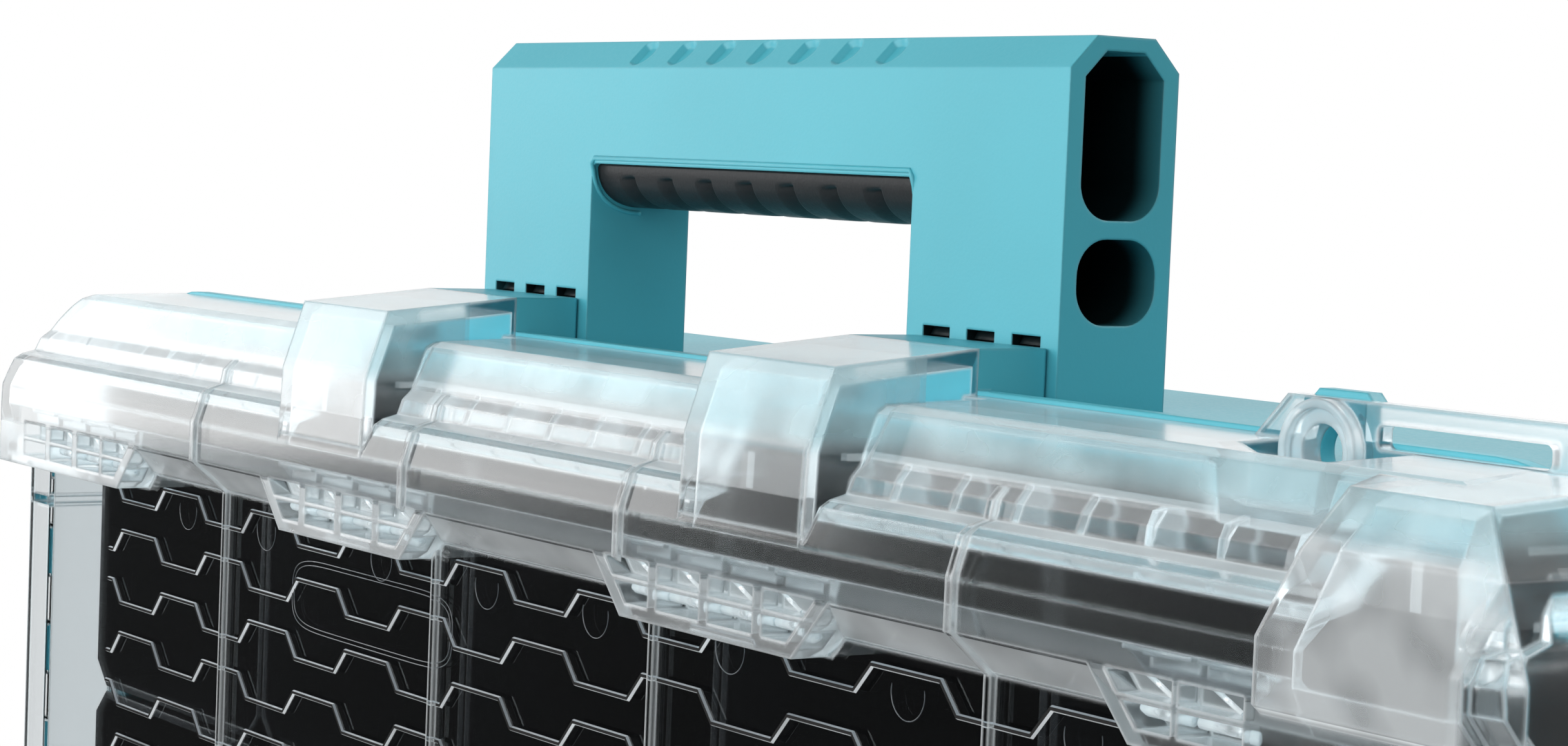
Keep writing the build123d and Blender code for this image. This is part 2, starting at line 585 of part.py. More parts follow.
# ---- base ----
tongue_x = end_wall_x - LID_WALL - FIT_GAP
tongue_top = lid_top - LID_WALL - FIT_GAP
tongue_height = 2 * (tongue_top - mid_z)
tongue_radius = CORNER_RADIUS - 2 * LID_WALL
grip_half = HAND_WIDTH / 2 - HAND_RADIUS
leg_x = (HANDLE_WIDTH + HAND_WIDTH) / 4
leg_depth = (HANDLE_WIDTH - HAND_WIDTH) / 2 - HANDLE_WALL
barb_low = base_top + SLOT_LOW + HOOK_GAP
barb_top = base_top + SLOT_LOW + SLOT_HEIGHT - HOOK_GAP
with BuildPart() as base_shell:
    with BuildSketch(front_plane(back_y)):
        with Locations((0, mid_z)):
            RectangleRounded(2 * base_x, base_top - base_bottom, CORNER_RADIUS - RIM_STEP)
    extrude(amount=back_y - rim_y)
    chamfer(base_shell.faces().sort_by(Axis.Y)[-1].edges(), BACK_CHAMFER)
    with BuildSketch(front_plane(base_y)):
        with Locations((0, mid_z)):
            RectangleRounded(2 * rim_x, RIM_HEIGHT - FOOT_HEIGHT, CORNER_RADIUS)
    extrude(amount=RIM_THICK)
    # tongue that stands inside the lid
    with BuildSketch(front_plane(rim_y)):
        with Locations((0, mid_z)):
            RectangleRounded(2 * tongue_x, tongue_height, tongue_radius)
    extrude(amount=TONGUE_DEPTH)
    # blocks in front of the handle's legs, flush with the lid's blocks
    for side in (-1, 1):
        with Locations((side * block_mid, (rim_y + seat_y) / 2, (block_top + block_low) / 2)):
            Box(block_outer - block_inner, seat_y - rim_y, block_top - base_top + BASE_WALL)
    with BuildSketch(front_plane(back_y - BASE_WALL)):
        with Locations((0, mid_z)):
            RectangleRounded(
                2 * (base_x - BASE_WALL), base_top - base_bottom - 2 * BASE_WALL,
                CORNER_RADIUS - RIM_STEP - BASE_WALL,
            )
    extrude(amount=back_y - BASE_WALL - base_y, mode=Mode.SUBTRACT)
    with BuildSketch(front_plane(base_y)):
        with Locations((0, mid_z)):
            RectangleRounded(
                2 * (tongue_x - TONGUE_THICK), tongue_height - 2 * TONGUE_THICK, tongue_radius - TONGUE_THICK
            )
    extrude(amount=RIM_THICK + TONGUE_DEPTH, mode=Mode.SUBTRACT)
    with Locations(((notch_start + notch_last) / 2, rim_y - TONGUE_DEPTH, tongue_top)):
        Box(
            notch_last - notch_start + 2 * LID_WALL + 2 * FIT_GAP, 2 * TONGUE_DEPTH, 2 * CORNER_RADIUS / 3,
            mode=Mode.SUBTRACT,
        )
    # hooks that snap into the handle's legs
    for side in (-1, 1):
        for step in (-1, 0, 1):
            with BuildSketch(Plane.YZ.offset(side * leg_x + step * SLOT_PITCH - SLOT_WIDTH / 2 + HOOK_GAP)):
                with BuildLine():
                    Polyline(
                        (hook_y, base_top - BASE_WALL), (hook_y + HOOK_THICK, base_top - BASE_WALL),
                        (hook_y + HOOK_THICK, barb_top), (hook_y - HOOK_GAP - HANDLE_WALL / 4, barb_top),
                        (hook_y - HOOK_GAP - HANDLE_WALL / 2, barb_low), (hook_y, barb_low), close=True,
                    )
                make_face()
            extrude(amount=SLOT_WIDTH - 2 * HOOK_GAP)
    # lug on the rim behind the lid's eye, with the eye's bore, which runs on over the top as a groove
    with BuildSketch(front_plane(base_y)):
        with Locations((eye_x, (lug_top + block_low) / 2)):
            Rectangle(LUG_WIDTH, lug_top - block_low)
        chamfer(vertices().group_by(Axis.Y)[-1], LUG_CHAMFER)
    extrude(amount=RIM_THICK)
    with BuildSketch(front_plane(base_y + LUG_GROOVE)):
        with Locations((eye_x, eye_z)):
            Circle(EYE_BORE)
    extrude(amount=LUG_GROOVE + 2 * RIM_THICK, mode=Mode.SUBTRACT)
    # feet under the lower edge and behind the back
    feet = (FOOT_INSET - half, half - FOOT_INSET)
    with Locations(*[(x, base_y + FOOT_LENGTH / 2, base_bottom / 2) for x in feet]):
        Box(FOOT_WIDTH, FOOT_LENGTH, base_bottom)
    # hinge knuckles
    for z in base_knuckles:
        with BuildSketch(Plane.XY.offset(z - KNUCKLE_LENGTH / 2)):
            with Locations((hinge_x, rim_y)):
                Circle(KNUCKLE_RADIUS)
            with BuildLine():
                Polyline(
                    (hinge_x, rim_y), (1 - base_x, rim_y + KNUCKLE_GAP),
                    (1 - base_x, rim_y + 3 * KNUCKLE_RADIUS),
                    (hinge_x - KNUCKLE_RADIUS * 0.7, rim_y + KNUCKLE_RADIUS * 0.7), close=True,
                )
            make_face()
        extrude(amount=KNUCKLE_LENGTH)
    with Locations(*[(hinge_x, rim_y, z) for z in lid_knuckles]):
        Cylinder(KNUCKLE_RADIUS + 2 * KNUCKLE_GAP, KNUCKLE_LENGTH + 2 * KNUCKLE_GAP, mode=Mode.SUBTRACT)
    with Locations((hinge_x, rim_y, mid_z - hinge_centre), (hinge_x, rim_y, mid_z + hinge_centre)):
        Cylinder(PIN_RADIUS + PIN_GAP, knuckle_span, mode=Mode.SUBTRACT)
    # ears for the latches' pins
    with Locations(*[((base_x - 1 + latch_x) / 2, latch_y, z) for z in latch_ears]):
        Box(latch_x - base_x + 1, 2 * LATCH_KNUCKLE, LATCH_EAR)
    with Locations(*[(latch_x, latch_y, z) for z in latch_ears]):
        Cylinder(LATCH_KNUCKLE, LATCH_EAR)
        Cylinder(PIN_RADIUS + PIN_GAP, LATCH_EAR, mode=Mode.SUBTRACT)
base_shell.part.label = "base_shell"
export_step(base_shell.part, "parts/base_shell.step")

# ---- handle ----
crescent_plane = Plane(
    origin=(CRESCENT_SHIFT, handle_y - (HANDLE_THICK - HANDLE_CHAMFER) / 2, handle_top - HANDLE_CHAMFER / 2),
    x_dir=(1, 0, 0), z_dir=(0, -1, 1),
)
with BuildPart() as handle:
    with BuildSketch(front_plane(handle_y + HANDLE_THICK / 2)):
        with Locations((0, (handle_top + base_top) / 2)):
            Rectangle(HANDLE_WIDTH, handle_top - base_top)
        with BuildLine():
            FilletPolyline(
                (HAND_WIDTH / 2, base_top), (HAND_WIDTH / 2, hand_top), (-HAND_WIDTH / 2, hand_top),
                (-HAND_WIDTH / 2, base_top), radius=HAND_RADIUS,
            )
            Line((-HAND_WIDTH / 2, base_top), (HAND_WIDTH / 2, base_top))
        make_face(mode=Mode.SUBTRACT)
    extrude(amount=HANDLE_THICK)
    chamfer(handle.edges().filter_by(Axis.X).group_by(Axis.Z)[-1], HANDLE_CHAMFER)
    # crescent cuts in the front chamfer
    with BuildSketch(crescent_plane):
        with Locations((0, CRESCENT_LIFT)):
            with GridLocations(CRESCENT_PITCH, 1, CRESCENTS, 1):
                Circle(CRESCENT_RADIUS)
        with Locations((-CRESCENT_FLAT - CRESCENT_RADIUS, CRESCENT_LIFT)):
            with GridLocations(CRESCENT_PITCH, 1, CRESCENTS, 1):
                Rectangle(2 * CRESCENT_RADIUS, 3 * CRESCENT_RADIUS, mode=Mode.SUBTRACT)
    extrude(amount=-CRESCENT_DEPTH, taper=CRESCENT_TAPER, mode=Mode.SUBTRACT)
    # cavities moulded in from both ends
    for side in (-1, 1):
        for low, depth, corner in (
            (UPPER_CAVITY_LOW, leg_depth, CAVITY_RADIUS), (HAND_RISE + HANDLE_WALL, CAVITY_DEPTH, BAR_CORNER)
        ):
            with BuildSketch(Plane.YZ.offset(side * HANDLE_WIDTH / 2)):
                with Locations((handle_y, base_top + (UPPER_CAVITY_TOP + low) / 2)):
                    Rectangle(HANDLE_THICK - 2 * HANDLE_WALL, UPPER_CAVITY_TOP - low)
                chamfer(vertices().group_by(Axis.Y)[-1], CAVITY_CHAMFER)
                fillet(vertices().group_by(Axis.Y)[0], corner)
            extrude(amount=-side * depth, mode=Mode.SUBTRACT)
        with BuildSketch(Plane.YZ.offset(side * HANDLE_WIDTH / 2)):
            with Locations((handle_y, base_top + (LOWER_CAVITY_TOP + LOWER_CAVITY_LOW) / 2)):
                RectangleRounded(
                    HANDLE_THICK - 2 * HANDLE_WALL, LOWER_CAVITY_TOP - LOWER_CAVITY_LOW, CAVITY_RADIUS
                )
        extrude(amount=-side * leg_depth, mode=Mode.SUBTRACT)
        # hollow foot of the leg, and the slots for the base's hooks
        with Locations((side * leg_x, handle_y, base_top + (SLOT_LOW + SLOT_HEIGHT) / 2)):
            Box(
                leg_depth - HANDLE_WALL, HANDLE_THICK - 2 * HANDLE_WALL,
                SLOT_LOW + SLOT_HEIGHT, mode=Mode.SUBTRACT,
            )
        with Locations((side * leg_x, handle_y - HANDLE_THICK / 2, base_top + SLOT_LOW + SLOT_HEIGHT / 2)):
            with GridLocations(SLOT_PITCH, 1, 3, 1):
                Box(SLOT_WIDTH, 2 * HANDLE_WALL, SLOT_HEIGHT, mode=Mode.SUBTRACT)
handle.part.label = "handle"
export_step(handle.part, "parts/handle.step")

# ---- grip under the handle's bar ----
with BuildPart() as handle_grip:
    with BuildSketch(Plane.YZ.offset(-grip_half)):
        with Locations((handle_y, hand_top - GRIP_DROP / 2)):
            Rectangle(HANDLE_THICK - 2 * GRIP_INSET, GRIP_DROP)
        fillet(vertices().group_by(Axis.Y)[0], GRIP_RADIUS)
    extrude(amount=2 * grip_half)
    # slanting finger cuts across both lower edges
    with BuildSketch(Plane.XZ.offset(-handle_y - HANDLE_THICK / 2)):
        with Locations((0, hand_top - GRIP_DROP)):
            with GridLocations(SCALLOP_PITCH, 1, SCALLOPS, 1):
                Circle(SCALLOP_RADIUS)
    extrude(amount=GRIP_RADIUS, mode=Mode.SUBTRACT)
    with BuildSketch(Plane.XZ.offset(-handle_y + HANDLE_THICK / 2)):
        with Locations((0, hand_top - GRIP_DROP)):
            with GridLocations(SCALLOP_PITCH, 1, SCALLOPS, 1):
                Circle(SCALLOP_RADIUS)
    extrude(amount=-GRIP_RADIUS, mode=Mode.SUBTRACT)
handle_grip.part.label = "handle_grip"
export_step(handle_grip.part, "parts/handle_grip.step")

# ---- hinge pins ----
for name, side in (("hinge_pin_lower", -1), ("hinge_pin_upper", 1)):
    with BuildPart() as hinge_pin:
        with Locations((hinge_x, rim_y, mid_z + side * hinge_centre)):
            Cylinder(PIN_RADIUS, knuckle_span)
    hinge_pin.part.label = name
    export_step(hinge_pin.part, f"parts/{name}.step")

# ---- latches and their pins ----
for name, side in (("lower", -1), ("upper", 1)):
    low = mid_z + side * latch_centre - LATCH_WIDTH / 2
    with BuildPart() as latch:
        with BuildSketch(Plane.XY.offset(low)):
            with BuildLine():
                Polyline(
                    (arm_x, latch_y), (arm_x, hook_front_y + LATCH_LIP),
                    (arm_x - hook_depth, hook_front_y + LATCH_LIP),
                    (arm_x - hook_depth, hook_front_y), (arm_x, hook_front_y - hook_depth),
                    (arm_x, rim_y - LATCH_REACH), (arm_x + LATCH_THICK, rim_y - LATCH_REACH),
                    (arm_x + LATCH_THICK, latch_y), close=True,
                )
            make_face()
            with Locations((latch_x, latch_y)):
                Circle(LATCH_KNUCKLE)
                Circle(PIN_RADIUS + PIN_GAP, mode=Mode.SUBTRACT)
        extrude(amount=LATCH_WIDTH)
    latch.part.label = f"latch_{name}"
    export_step(latch.part, f"parts/latch_{name}.step")
    with BuildPart() as latch_pin:
        with Locations((latch_x, latch_y, mid_z + side * latch_centre)):
            Cylinder(PIN_RADIUS, LATCH_WIDTH + 2 * LATCH_GAP + 2 * LATCH_EAR)
    latch_pin.part.label = f"latch_pin_{name}"
    export_step(latch_pin.part, f"parts/latch_pin_{name}.step")

# ---- bins: a row of short ones over a row of long ones ----
bins_top = base_top - BASE_WALL - BIN_CLEAR_TOP
small_low = bins_top - SMALL_BIN_LENGTH
long_low = base_bottom + BASE_WALL + BIN_CLEAR_LOW
inner_radius = CORNER_RADIUS - RIM_STEP - BASE_WALL
corner_bite = inner_radius - (inner_radius**2 - (inner_radius - BIN_CLEAR_LOW) ** 2) ** 0.5
bin_side = corner_bite - BIN_CHAMFER + BIN_SIDE
bin_pitch = 2 * (base_x - BASE_WALL - bin_side) / BIN_COLUMNS
for kind, low, high in (("small", small_low, bins_top), ("long", long_low, small_low - BIN_ROW_GAP)):
    for column in range(BIN_COLUMNS):
        x = (column - (BIN_COLUMNS - 1) / 2) * bin_pitch
        with BuildPart() as bin_tray:
            with BuildSketch(front_plane(back_y - BASE_WALL)):
                with Locations((x, (low + high) / 2)):
                    Rectangle(bin_pitch - BIN_GAP, high - low)
                chamfer(vertices(), BIN_CHAMFER)
            extrude(amount=BIN_DEPTH)
            with BuildSketch(front_plane(back_y - BASE_WALL - BIN_WALL)):
                with Locations((x, (low + high) / 2)):
                    Rectangle(bin_pitch - BIN_GAP - 2 * BIN_WALL, high - low - 2 * BIN_WALL)
                chamfer(vertices(), BIN_CHAMFER - BIN_WALL)
            extrude(amount=BIN_DEPTH, mode=Mode.SUBTRACT)
        bin_tray.part.label = f"{kind}_bin_{column + 1}"
        export_step(bin_tray.part, f"parts/{kind}_bin_{column + 1}.step")
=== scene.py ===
"""Looks of the saw blade storage case: clear hinged lid, moulded base, carrying handle, soft grip and bins.

Lengths are metres in the frame's own axes: X along the case, Y from the lid to the back, Z up.
"""

import json
import math

import bpy
import numpy as np
from mathutils import Matrix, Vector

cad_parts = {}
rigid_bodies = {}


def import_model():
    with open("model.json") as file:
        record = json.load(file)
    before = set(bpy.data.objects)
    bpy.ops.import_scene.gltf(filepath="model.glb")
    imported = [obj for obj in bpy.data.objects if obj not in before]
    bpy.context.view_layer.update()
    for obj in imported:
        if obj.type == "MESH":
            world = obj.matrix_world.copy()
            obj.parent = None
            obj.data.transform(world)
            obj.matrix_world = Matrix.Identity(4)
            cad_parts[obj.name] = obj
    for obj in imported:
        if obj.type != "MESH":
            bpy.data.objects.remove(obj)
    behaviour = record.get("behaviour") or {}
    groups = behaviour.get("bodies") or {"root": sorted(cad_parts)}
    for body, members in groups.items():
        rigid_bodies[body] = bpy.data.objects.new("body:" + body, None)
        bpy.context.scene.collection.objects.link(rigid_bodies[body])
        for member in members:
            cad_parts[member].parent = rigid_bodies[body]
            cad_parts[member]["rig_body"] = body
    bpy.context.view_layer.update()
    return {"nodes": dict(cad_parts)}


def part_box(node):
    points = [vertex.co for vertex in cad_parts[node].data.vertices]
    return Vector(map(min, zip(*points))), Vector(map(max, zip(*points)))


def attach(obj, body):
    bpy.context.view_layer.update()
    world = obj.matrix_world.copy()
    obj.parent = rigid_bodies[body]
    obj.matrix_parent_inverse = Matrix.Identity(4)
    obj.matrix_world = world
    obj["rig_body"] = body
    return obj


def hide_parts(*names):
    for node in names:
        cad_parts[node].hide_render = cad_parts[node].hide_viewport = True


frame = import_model()

bl_info = {
    "name": "Saw Blade Storage Case",
    "version": (1, 0, 0),
    "blender": (4, 5, 0),
    "location": "3D View > Sidebar > Case",
    "description": "Builds the finishes and small details of a clear-lidded storage case",
    "category": "Add Mesh",
}

MM = 0.001

# refractive indices of the plastics
POLYPROPYLENE_IOR = 1.49
POLYCARBONATE_IOR = 1.585
ELASTOMER_IOR = 1.38

# a noise texture's values lie nearly all in the first span; the second, inside it, cuts them into patches
NOISE_SPAN = {"From Min": 0.3, "From Max": 0.7}
PATCH_SPAN = {"From Min": 0.38, "From Max": 0.62}

# places on the lid, which is mirrored about its middle; a level is a distance over or under that middle
WINDOW_END = 157.0 * MM  # the zigzag ribs stop at this X on both sides
BROW_LEVEL = 108.4 * MM  # the brow starts
ROD_LEVEL = 109.5 * MM  # axis of the rods in the tabs
BAND_LEVEL, BAND_HALF = 119.9 * MM, 6.5 * MM  # middle and half height of the dark band
FOOT_X, FOOT_LEVEL = 166.6 * MM, 120.5 * MM  # middle of the polished spot on the right guards
RIB_LEVEL, RIB_PITCH = 128.8 * MM, 12.2 * MM  # middle and spacing of the brow's short ribs
TOP_LEVEL = 131.8 * MM  # the upper facets start
EYE_X, EYE_Z = 143.1 * MM, 284.5 * MM  # axis of the tether eye
FORE_Y = -30.0 * MM  # the brow and its facets are in front of this, the eye's plate behind it

# place, width and height, and power in watts of each softbox; all of them face STUDIO_AIM
SOFTBOXES = {
    "left softbox": ((-1.5, -0.69, 0.62), (0.66, 1.05), 7.5),
    "front softbox": ((-0.42, -1.5, 0.62), (1.3, 1.1), 22.0),
    "front right softbox": ((0.75, -1.1, 0.7), (0.9, 0.9), 6.0),
    "top softbox": ((0.1, 0.95, 1.5), (0.9, 0.9), 11.0),
    "right softbox": ((1.2, -0.1, 1.0), (0.7, 0.7), 4.0),
}
STUDIO_AIM = (0.0, 0.0, 0.2)
FLOOR_RADIUS = 0.8

# the camera's place, its turns in radians, and its lens on a frame 36 mm wide
CAMERA_PLACE = (0.4188, -0.2930, 0.3146)
CAMERA_YAW, CAMERA_PITCH, CAMERA_ROLL = 0.96059, -0.06192, 0.04113
LENS_MM, SENSOR_MM = 76.054, 36.0


def linear(hex_colour):
    """sRGB hex text to a linear (r, g, b, 1): below 0.04045 divide by 12.92, above it the 2.4 power curve."""
    value = np.array([int(hex_colour[i : i + 2], 16) for i in (1, 3, 5)]) / 255.0
    low, high = value / 12.92, ((value + 0.055) / 1.055) ** 2.4
    return (*np.where(value <= 0.04045, low, high).tolist(), 1.0)


def edges(node):
    """Lowest and highest corner of a frame node as two numpy rows, in metres."""
    return np.array([list(corner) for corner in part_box(node)])


GRIP_LOW, GRIP_HIGH = edges("handle_grip")
GRIP_MIDDLE = (GRIP_LOW[1] + GRIP_HIGH[1]) / 2
GRIP_HALF, GRIP_DROP = (GRIP_HIGH[1] - GRIP_LOW[1]) / 2, GRIP_HIGH[2] - GRIP_LOW[2]
GRIP_POWER = 0.87  # squareness of the grip's section
HANDLE_LOW, HANDLE_HIGH = edges("handle")
HANDLE_MIDDLE = (HANDLE_LOW[1] + HANDLE_HIGH[1]) / 2


# ---------------------------------------------------------------- settings


class CaseSizes(bpy.types.PropertyGroup):
    """Sizes of the fine details on the case."""

    window_face: bpy.props.FloatProperty(
        name="Window face", description="Y of the lid window's front face", default=-0.0423, unit="LENGTH"
    )
    brow_face: bpy.props.FloatProperty(
        name="Brow face", description="Y of the brow's upright front face", default=-0.0489, unit="LENGTH"
    )
    middle_height: bpy.props.FloatProperty(
        name="Middle", description="Height of the lid's middle, about which it is mirrored",
        default=0.1459, unit="LENGTH",
    )
    zigzag_pitch: bpy.props.FloatProperty(
        name="Zigzag pitch", description="Length of one step of a zigzag rib", default=0.018, unit="LENGTH"
    )
    zigzag_rows: bpy.props.IntProperty(name="Zigzag rows", description="Number of zigzag ribs", default=23)
    zigzag_row_pitch: bpy.props.FloatProperty(
        name="Row pitch", description="Distance between zigzag ribs", default=0.00954, unit="LENGTH"
    )
    zigzag_top: bpy.props.FloatProperty(
        name="Top row", description="Height of the top zigzag rib's middle", default=0.25, unit="LENGTH"
    )
    zigzag_swing: bpy.props.FloatProperty(
        name="Swing", description="Half the rise of a zigzag rib", default=0.00193, unit="LENGTH"
    )
    rib_width: bpy.props.FloatProperty(
        name="Rib width", description="Width of a zigzag rib at its foot", default=0.0008, unit="LENGTH"
    )
    rib_height: bpy.props.FloatProperty(
        name="Rib height", description="How far a zigzag rib stands out", default=0.0004, unit="LENGTH"
    )
    tab_centre: bpy.props.FloatProperty(
        name="Tab centre", description="From the lid's middle to the middle of a tab",
        default=0.053, unit="LENGTH",
    )
    rod_radius: bpy.props.FloatProperty(
        name="Rod radius", description="Radius of the rods across the tab windows",
        default=0.0008, unit="LENGTH",
    )
    hollow_pitch: bpy.props.FloatProperty(
        name="Hollow pitch", description="Distance between the grip's finger hollows",
        default=0.0111, unit="LENGTH",
    )
    hollow_shift: bpy.props.FloatProperty(
        name="Hollow shift", description="X of the middle finger hollow", default=-0.0009, unit="LENGTH"
    )
    hollow_depth: bpy.props.FloatProperty(
        name="Hollow depth", description="Depth of the grip's finger hollows", default=0.0013, unit="LENGTH"
    )


class CaseColours(bpy.types.PropertyGroup):
    """Colours of the case's materials."""

    teal: bpy.props.FloatVectorProperty(
        name="Teal", description="Base and handle", size=4, subtype="COLOR", default=linear("#4DACBB")
    )
    black: bpy.props.FloatVectorProperty(
        name="Black", description="Bins and latches", size=4, subtype="COLOR", default=linear("#101113")
    )
    grip: bpy.props.FloatVectorProperty(
        name="Grip", description="Soft grip", size=4, subtype="COLOR", default=linear("#1F2123")
    )
    clear: bpy.props.FloatVectorProperty(
        name="Clear", description="Tint of the lid", size=4, subtype="COLOR", default=linear("#F2F7F9")
    )


# ---------------------------------------------------------------- materials


def add_node(tree, kind, inputs=None, **settings):
    """Adds a node with its settings; an input takes a plain value, a socket, or a node's first output."""
    node = tree.nodes.new(kind)
    for name, value in settings.items():
        setattr(node, name, value)
    for name, value in (inputs or {}).items():
        source = value.outputs[0] if isinstance(value, bpy.types.Node) else value
        if isinstance(source, bpy.types.NodeSocket):
            tree.links.new(source, node.inputs[name])
        else:
            node.inputs[name].default_value = value
    return node


def new_material(name):
    """An empty node material, its tree, and the Object coordinates in it."""
    material = bpy.data.materials.new(name)
    material.use_nodes = True
    tree = material.node_tree
    tree.nodes.clear()
    return material, tree, add_node(tree, "ShaderNodeTexCoord").outputs["Object"]


def varied_finish(tree, noise, colour, tones, roughness):
    """The colour times a tone, and the roughness, each varied by a noise between two values."""
    tone = add_node(
        tree, "ShaderNodeMapRange", {"Value": noise, **NOISE_SPAN, "To Min": tones[0], "To Max": tones[1]}
    )
    tint = add_node(tree, "ShaderNodeHueSaturation", {"Color": colour, "Value": tone})
    gloss = add_node(
        tree, "ShaderNodeMapRange",
        {"Value": noise, **NOISE_SPAN, "To Min": roughness[0], "To Max": roughness[1]},
    )
    return tint, gloss


def shaded_hollows(tree, where, tone, hollows):
    """The tone with painted shade: it falls off to near black in each hollow within 6 mm of the handle's
    ends;
    a hollow is a box in |x|, y and z, given by its lowest and highest corner."""
    axes = add_node(tree, "ShaderNodeSeparateXYZ", {0: where}).outputs
    out = add_node(tree, "ShaderNodeMath", {0: axes[0]}, operation="ABSOLUTE")
    light = add_node(
        tree, "ShaderNodeMapRange",
        {"Value": out, "From Min": HANDLE_HIGH[0] - 6 * MM, "From Max": HANDLE_HIGH[0],
         "To Min": 0.02, "To Max": 0.45},
        interpolation_type="SMOOTHSTEP",
    )
    for low, high in hollows:
        inside = 1.0
        for place, start, end in zip((out, axes[1], axes[2]), low, high):
            within = add_node(
                tree, "ShaderNodeMath", {0: place, 1: (start + end) / 2, 2: (end - start) / 2},
                operation="COMPARE",
            )
            inside = add_node(tree, "ShaderNodeMath", {0: within, 1: inside}, operation="MULTIPLY")
        # painted shade: inside the hollow the tone drops to the near-black fall-off
        dull = add_node(tree, "ShaderNodeMix", {0: inside, 2: 1.0, 3: light})
        tone = add_node(tree, "ShaderNodeMath", {0: tone, 1: dull}, operation="MULTIPLY")
    return tone


def moulded_polypropylene(name, colour, grain, roughness, hollows=()):
    """Polypropylene, moulded against a spark-eroded tool: an even satin skin with a faint grain, whose
    corners are a little rounded and catch the light. Painted shade is put in the given hollows, so that
    their walls go dark."""
    material, tree, where = new_material(name)
    # the real grain is about 0.1 mm; it is drawn at the given pitch so that it shows
    fine = add_node(tree, "ShaderNodeTexNoise", {"Vector": where, "Scale": 1 / grain, "Detail": 2.0})
    # flow marks in the wall are 30 to 40 mm across
    broad = add_node(tree, "ShaderNodeTexNoise", {"Vector": where, "Scale": 1 / 0.035, "Detail": 1.0})
    tone = add_node(
        tree, "ShaderNodeMapRange", {"Value": broad, **NOISE_SPAN, "To Min": 0.97, "To Max": 1.03}
    )
    if hollows:
        tone = shaded_hollows(tree, where, tone, hollows)
    tint = add_node(tree, "ShaderNodeHueSaturation", {"Color": colour, "Value": tone})
    gloss = add_node(
        tree, "ShaderNodeMapRange",
        {"Value": fine, **NOISE_SPAN, "To Min": roughness - 0.04, "To Max": roughness + 0.04},
    )
    rounded = add_node(tree, "ShaderNodeBevel", {"Radius": 0.6 * MM}, samples=4)
    skin = add_node(
        tree, "ShaderNodeBump", {"Height": fine, "Distance": 0.05 * MM, "Strength": 0.3, "Normal": rounded}
    )
    shader = add_node(
        tree, "ShaderNodeBsdfPrincipled",
        {"Base Color": tint, "Roughness": gloss, "IOR": POLYPROPYLENE_IOR, "Normal": skin},
    )
    add_node(tree, "ShaderNodeOutputMaterial", {"Surface": shader})
    return material


def frosted_places(tree, axes, rise, sizes):
    """1 where the lid is frosted: from the brow's edge on, and where the wall stands over 1.3 mm proud of
    the window. A spot 11 mm long and 8.3 mm high stays polished at the foot of both right guards."""
    brow = add_node(
        tree, "ShaderNodeMapRange",
        {"Value": rise, "From Min": BROW_LEVEL, "From Max": BROW_LEVEL + 0.6 * MM},
    )
    proud = add_node(
        tree, "ShaderNodeMapRange",
        {"Value": axes[1], "From Min": sizes.window_face - 1.0 * MM,
         "From Max": sizes.window_face - 1.3 * MM},
    )
    frosted = add_node(tree, "ShaderNodeMath", {0: brow, 1: proud}, operation="MAXIMUM")
    outside = 0.0
    for place, middle, half in ((axes[0], FOOT_X, 5.3 * MM), (rise, FOOT_LEVEL, 4.0 * MM)):
        offset = add_node(tree, "ShaderNodeMath", {0: place, 1: middle}, operation="SUBTRACT")
        away = add_node(tree, "ShaderNodeMath", {0: offset}, operation="ABSOLUTE")
        past = add_node(
            tree, "ShaderNodeMapRange", {"Value": away, "From Min": half, "From Max": half + 0.3 * MM}
        )
        outside = add_node(tree, "ShaderNodeMath", {0: past, 1: outside}, operation="MAXIMUM")
    return add_node(tree, "ShaderNodeMath", {0: frosted, 1: outside}, operation="MULTIPLY")


def lit_ribs(tree, axes, rise, sizes):
    """How white the brow's inside is painted, as painted highlights: along every second short rib, 4.8 mm
    high, and on a ledge 1 mm high over and under the row."""
    step = add_node(tree, "ShaderNodeMath", {0: axes[0], 1: RIB_PITCH}, operation="PINGPONG")
    rib = add_node(
        tree, "ShaderNodeMapRange",
        {"Value": step, "From Min": RIB_PITCH - 0.9 * MM, "From Max": RIB_PITCH - 0.7 * MM},
    )
    row = add_node(tree, "ShaderNodeMath", {0: rise, 1: RIB_LEVEL, 2: 2.4 * MM}, operation="COMPARE")
    rib = add_node(tree, "ShaderNodeMath", {0: rib, 1: row}, operation="MULTIPLY")
    tall = add_node(tree, "ShaderNodeMath", {0: rise, 1: RIB_LEVEL, 2: 3.4 * MM}, operation="COMPARE")
    ledge = add_node(tree, "ShaderNodeMath", {0: tall, 1: row}, operation="SUBTRACT")
    inner = add_node(
        tree, "ShaderNodeMath", {0: axes[1], 1: sizes.window_face}, operation="GREATER_THAN"
    )
    ledge = add_node(tree, "ShaderNodeMath", {0: ledge, 1: inner}, operation="MULTIPLY")
    lit = add_node(tree, "ShaderNodeMath", {0: rib, 1: ledge}, operation="MAXIMUM")
    return add_node(tree, "ShaderNodeMath", {0: lit, 1: 0.22}, operation="MULTIPLY")


def eye_ring(tree, axes, fore):
    """How white the ring round the tether eye is, 13 mm across; what is in front of the eye is left out."""
    upright = add_node(tree, "ShaderNodeCombineXYZ", {0: axes[0], 2: axes[2]})
    radius = add_node(
        tree, "ShaderNodeVectorMath", {0: upright, 1: (EYE_X, 0.0, EYE_Z)}, operation="DISTANCE"
    ).outputs["Value"]
    disc = add_node(
        tree, "ShaderNodeMapRange", {"Value": radius, "From Min": 6.6 * MM, "From Max": 6.4 * MM}
    )
    ring = add_node(tree, "ShaderNodeMath", {0: disc, 1: fore}, operation="SUBTRACT", use_clamp=True)
    return add_node(tree, "ShaderNodeMath", {0: ring, 1: 0.4}, operation="MULTIPLY")


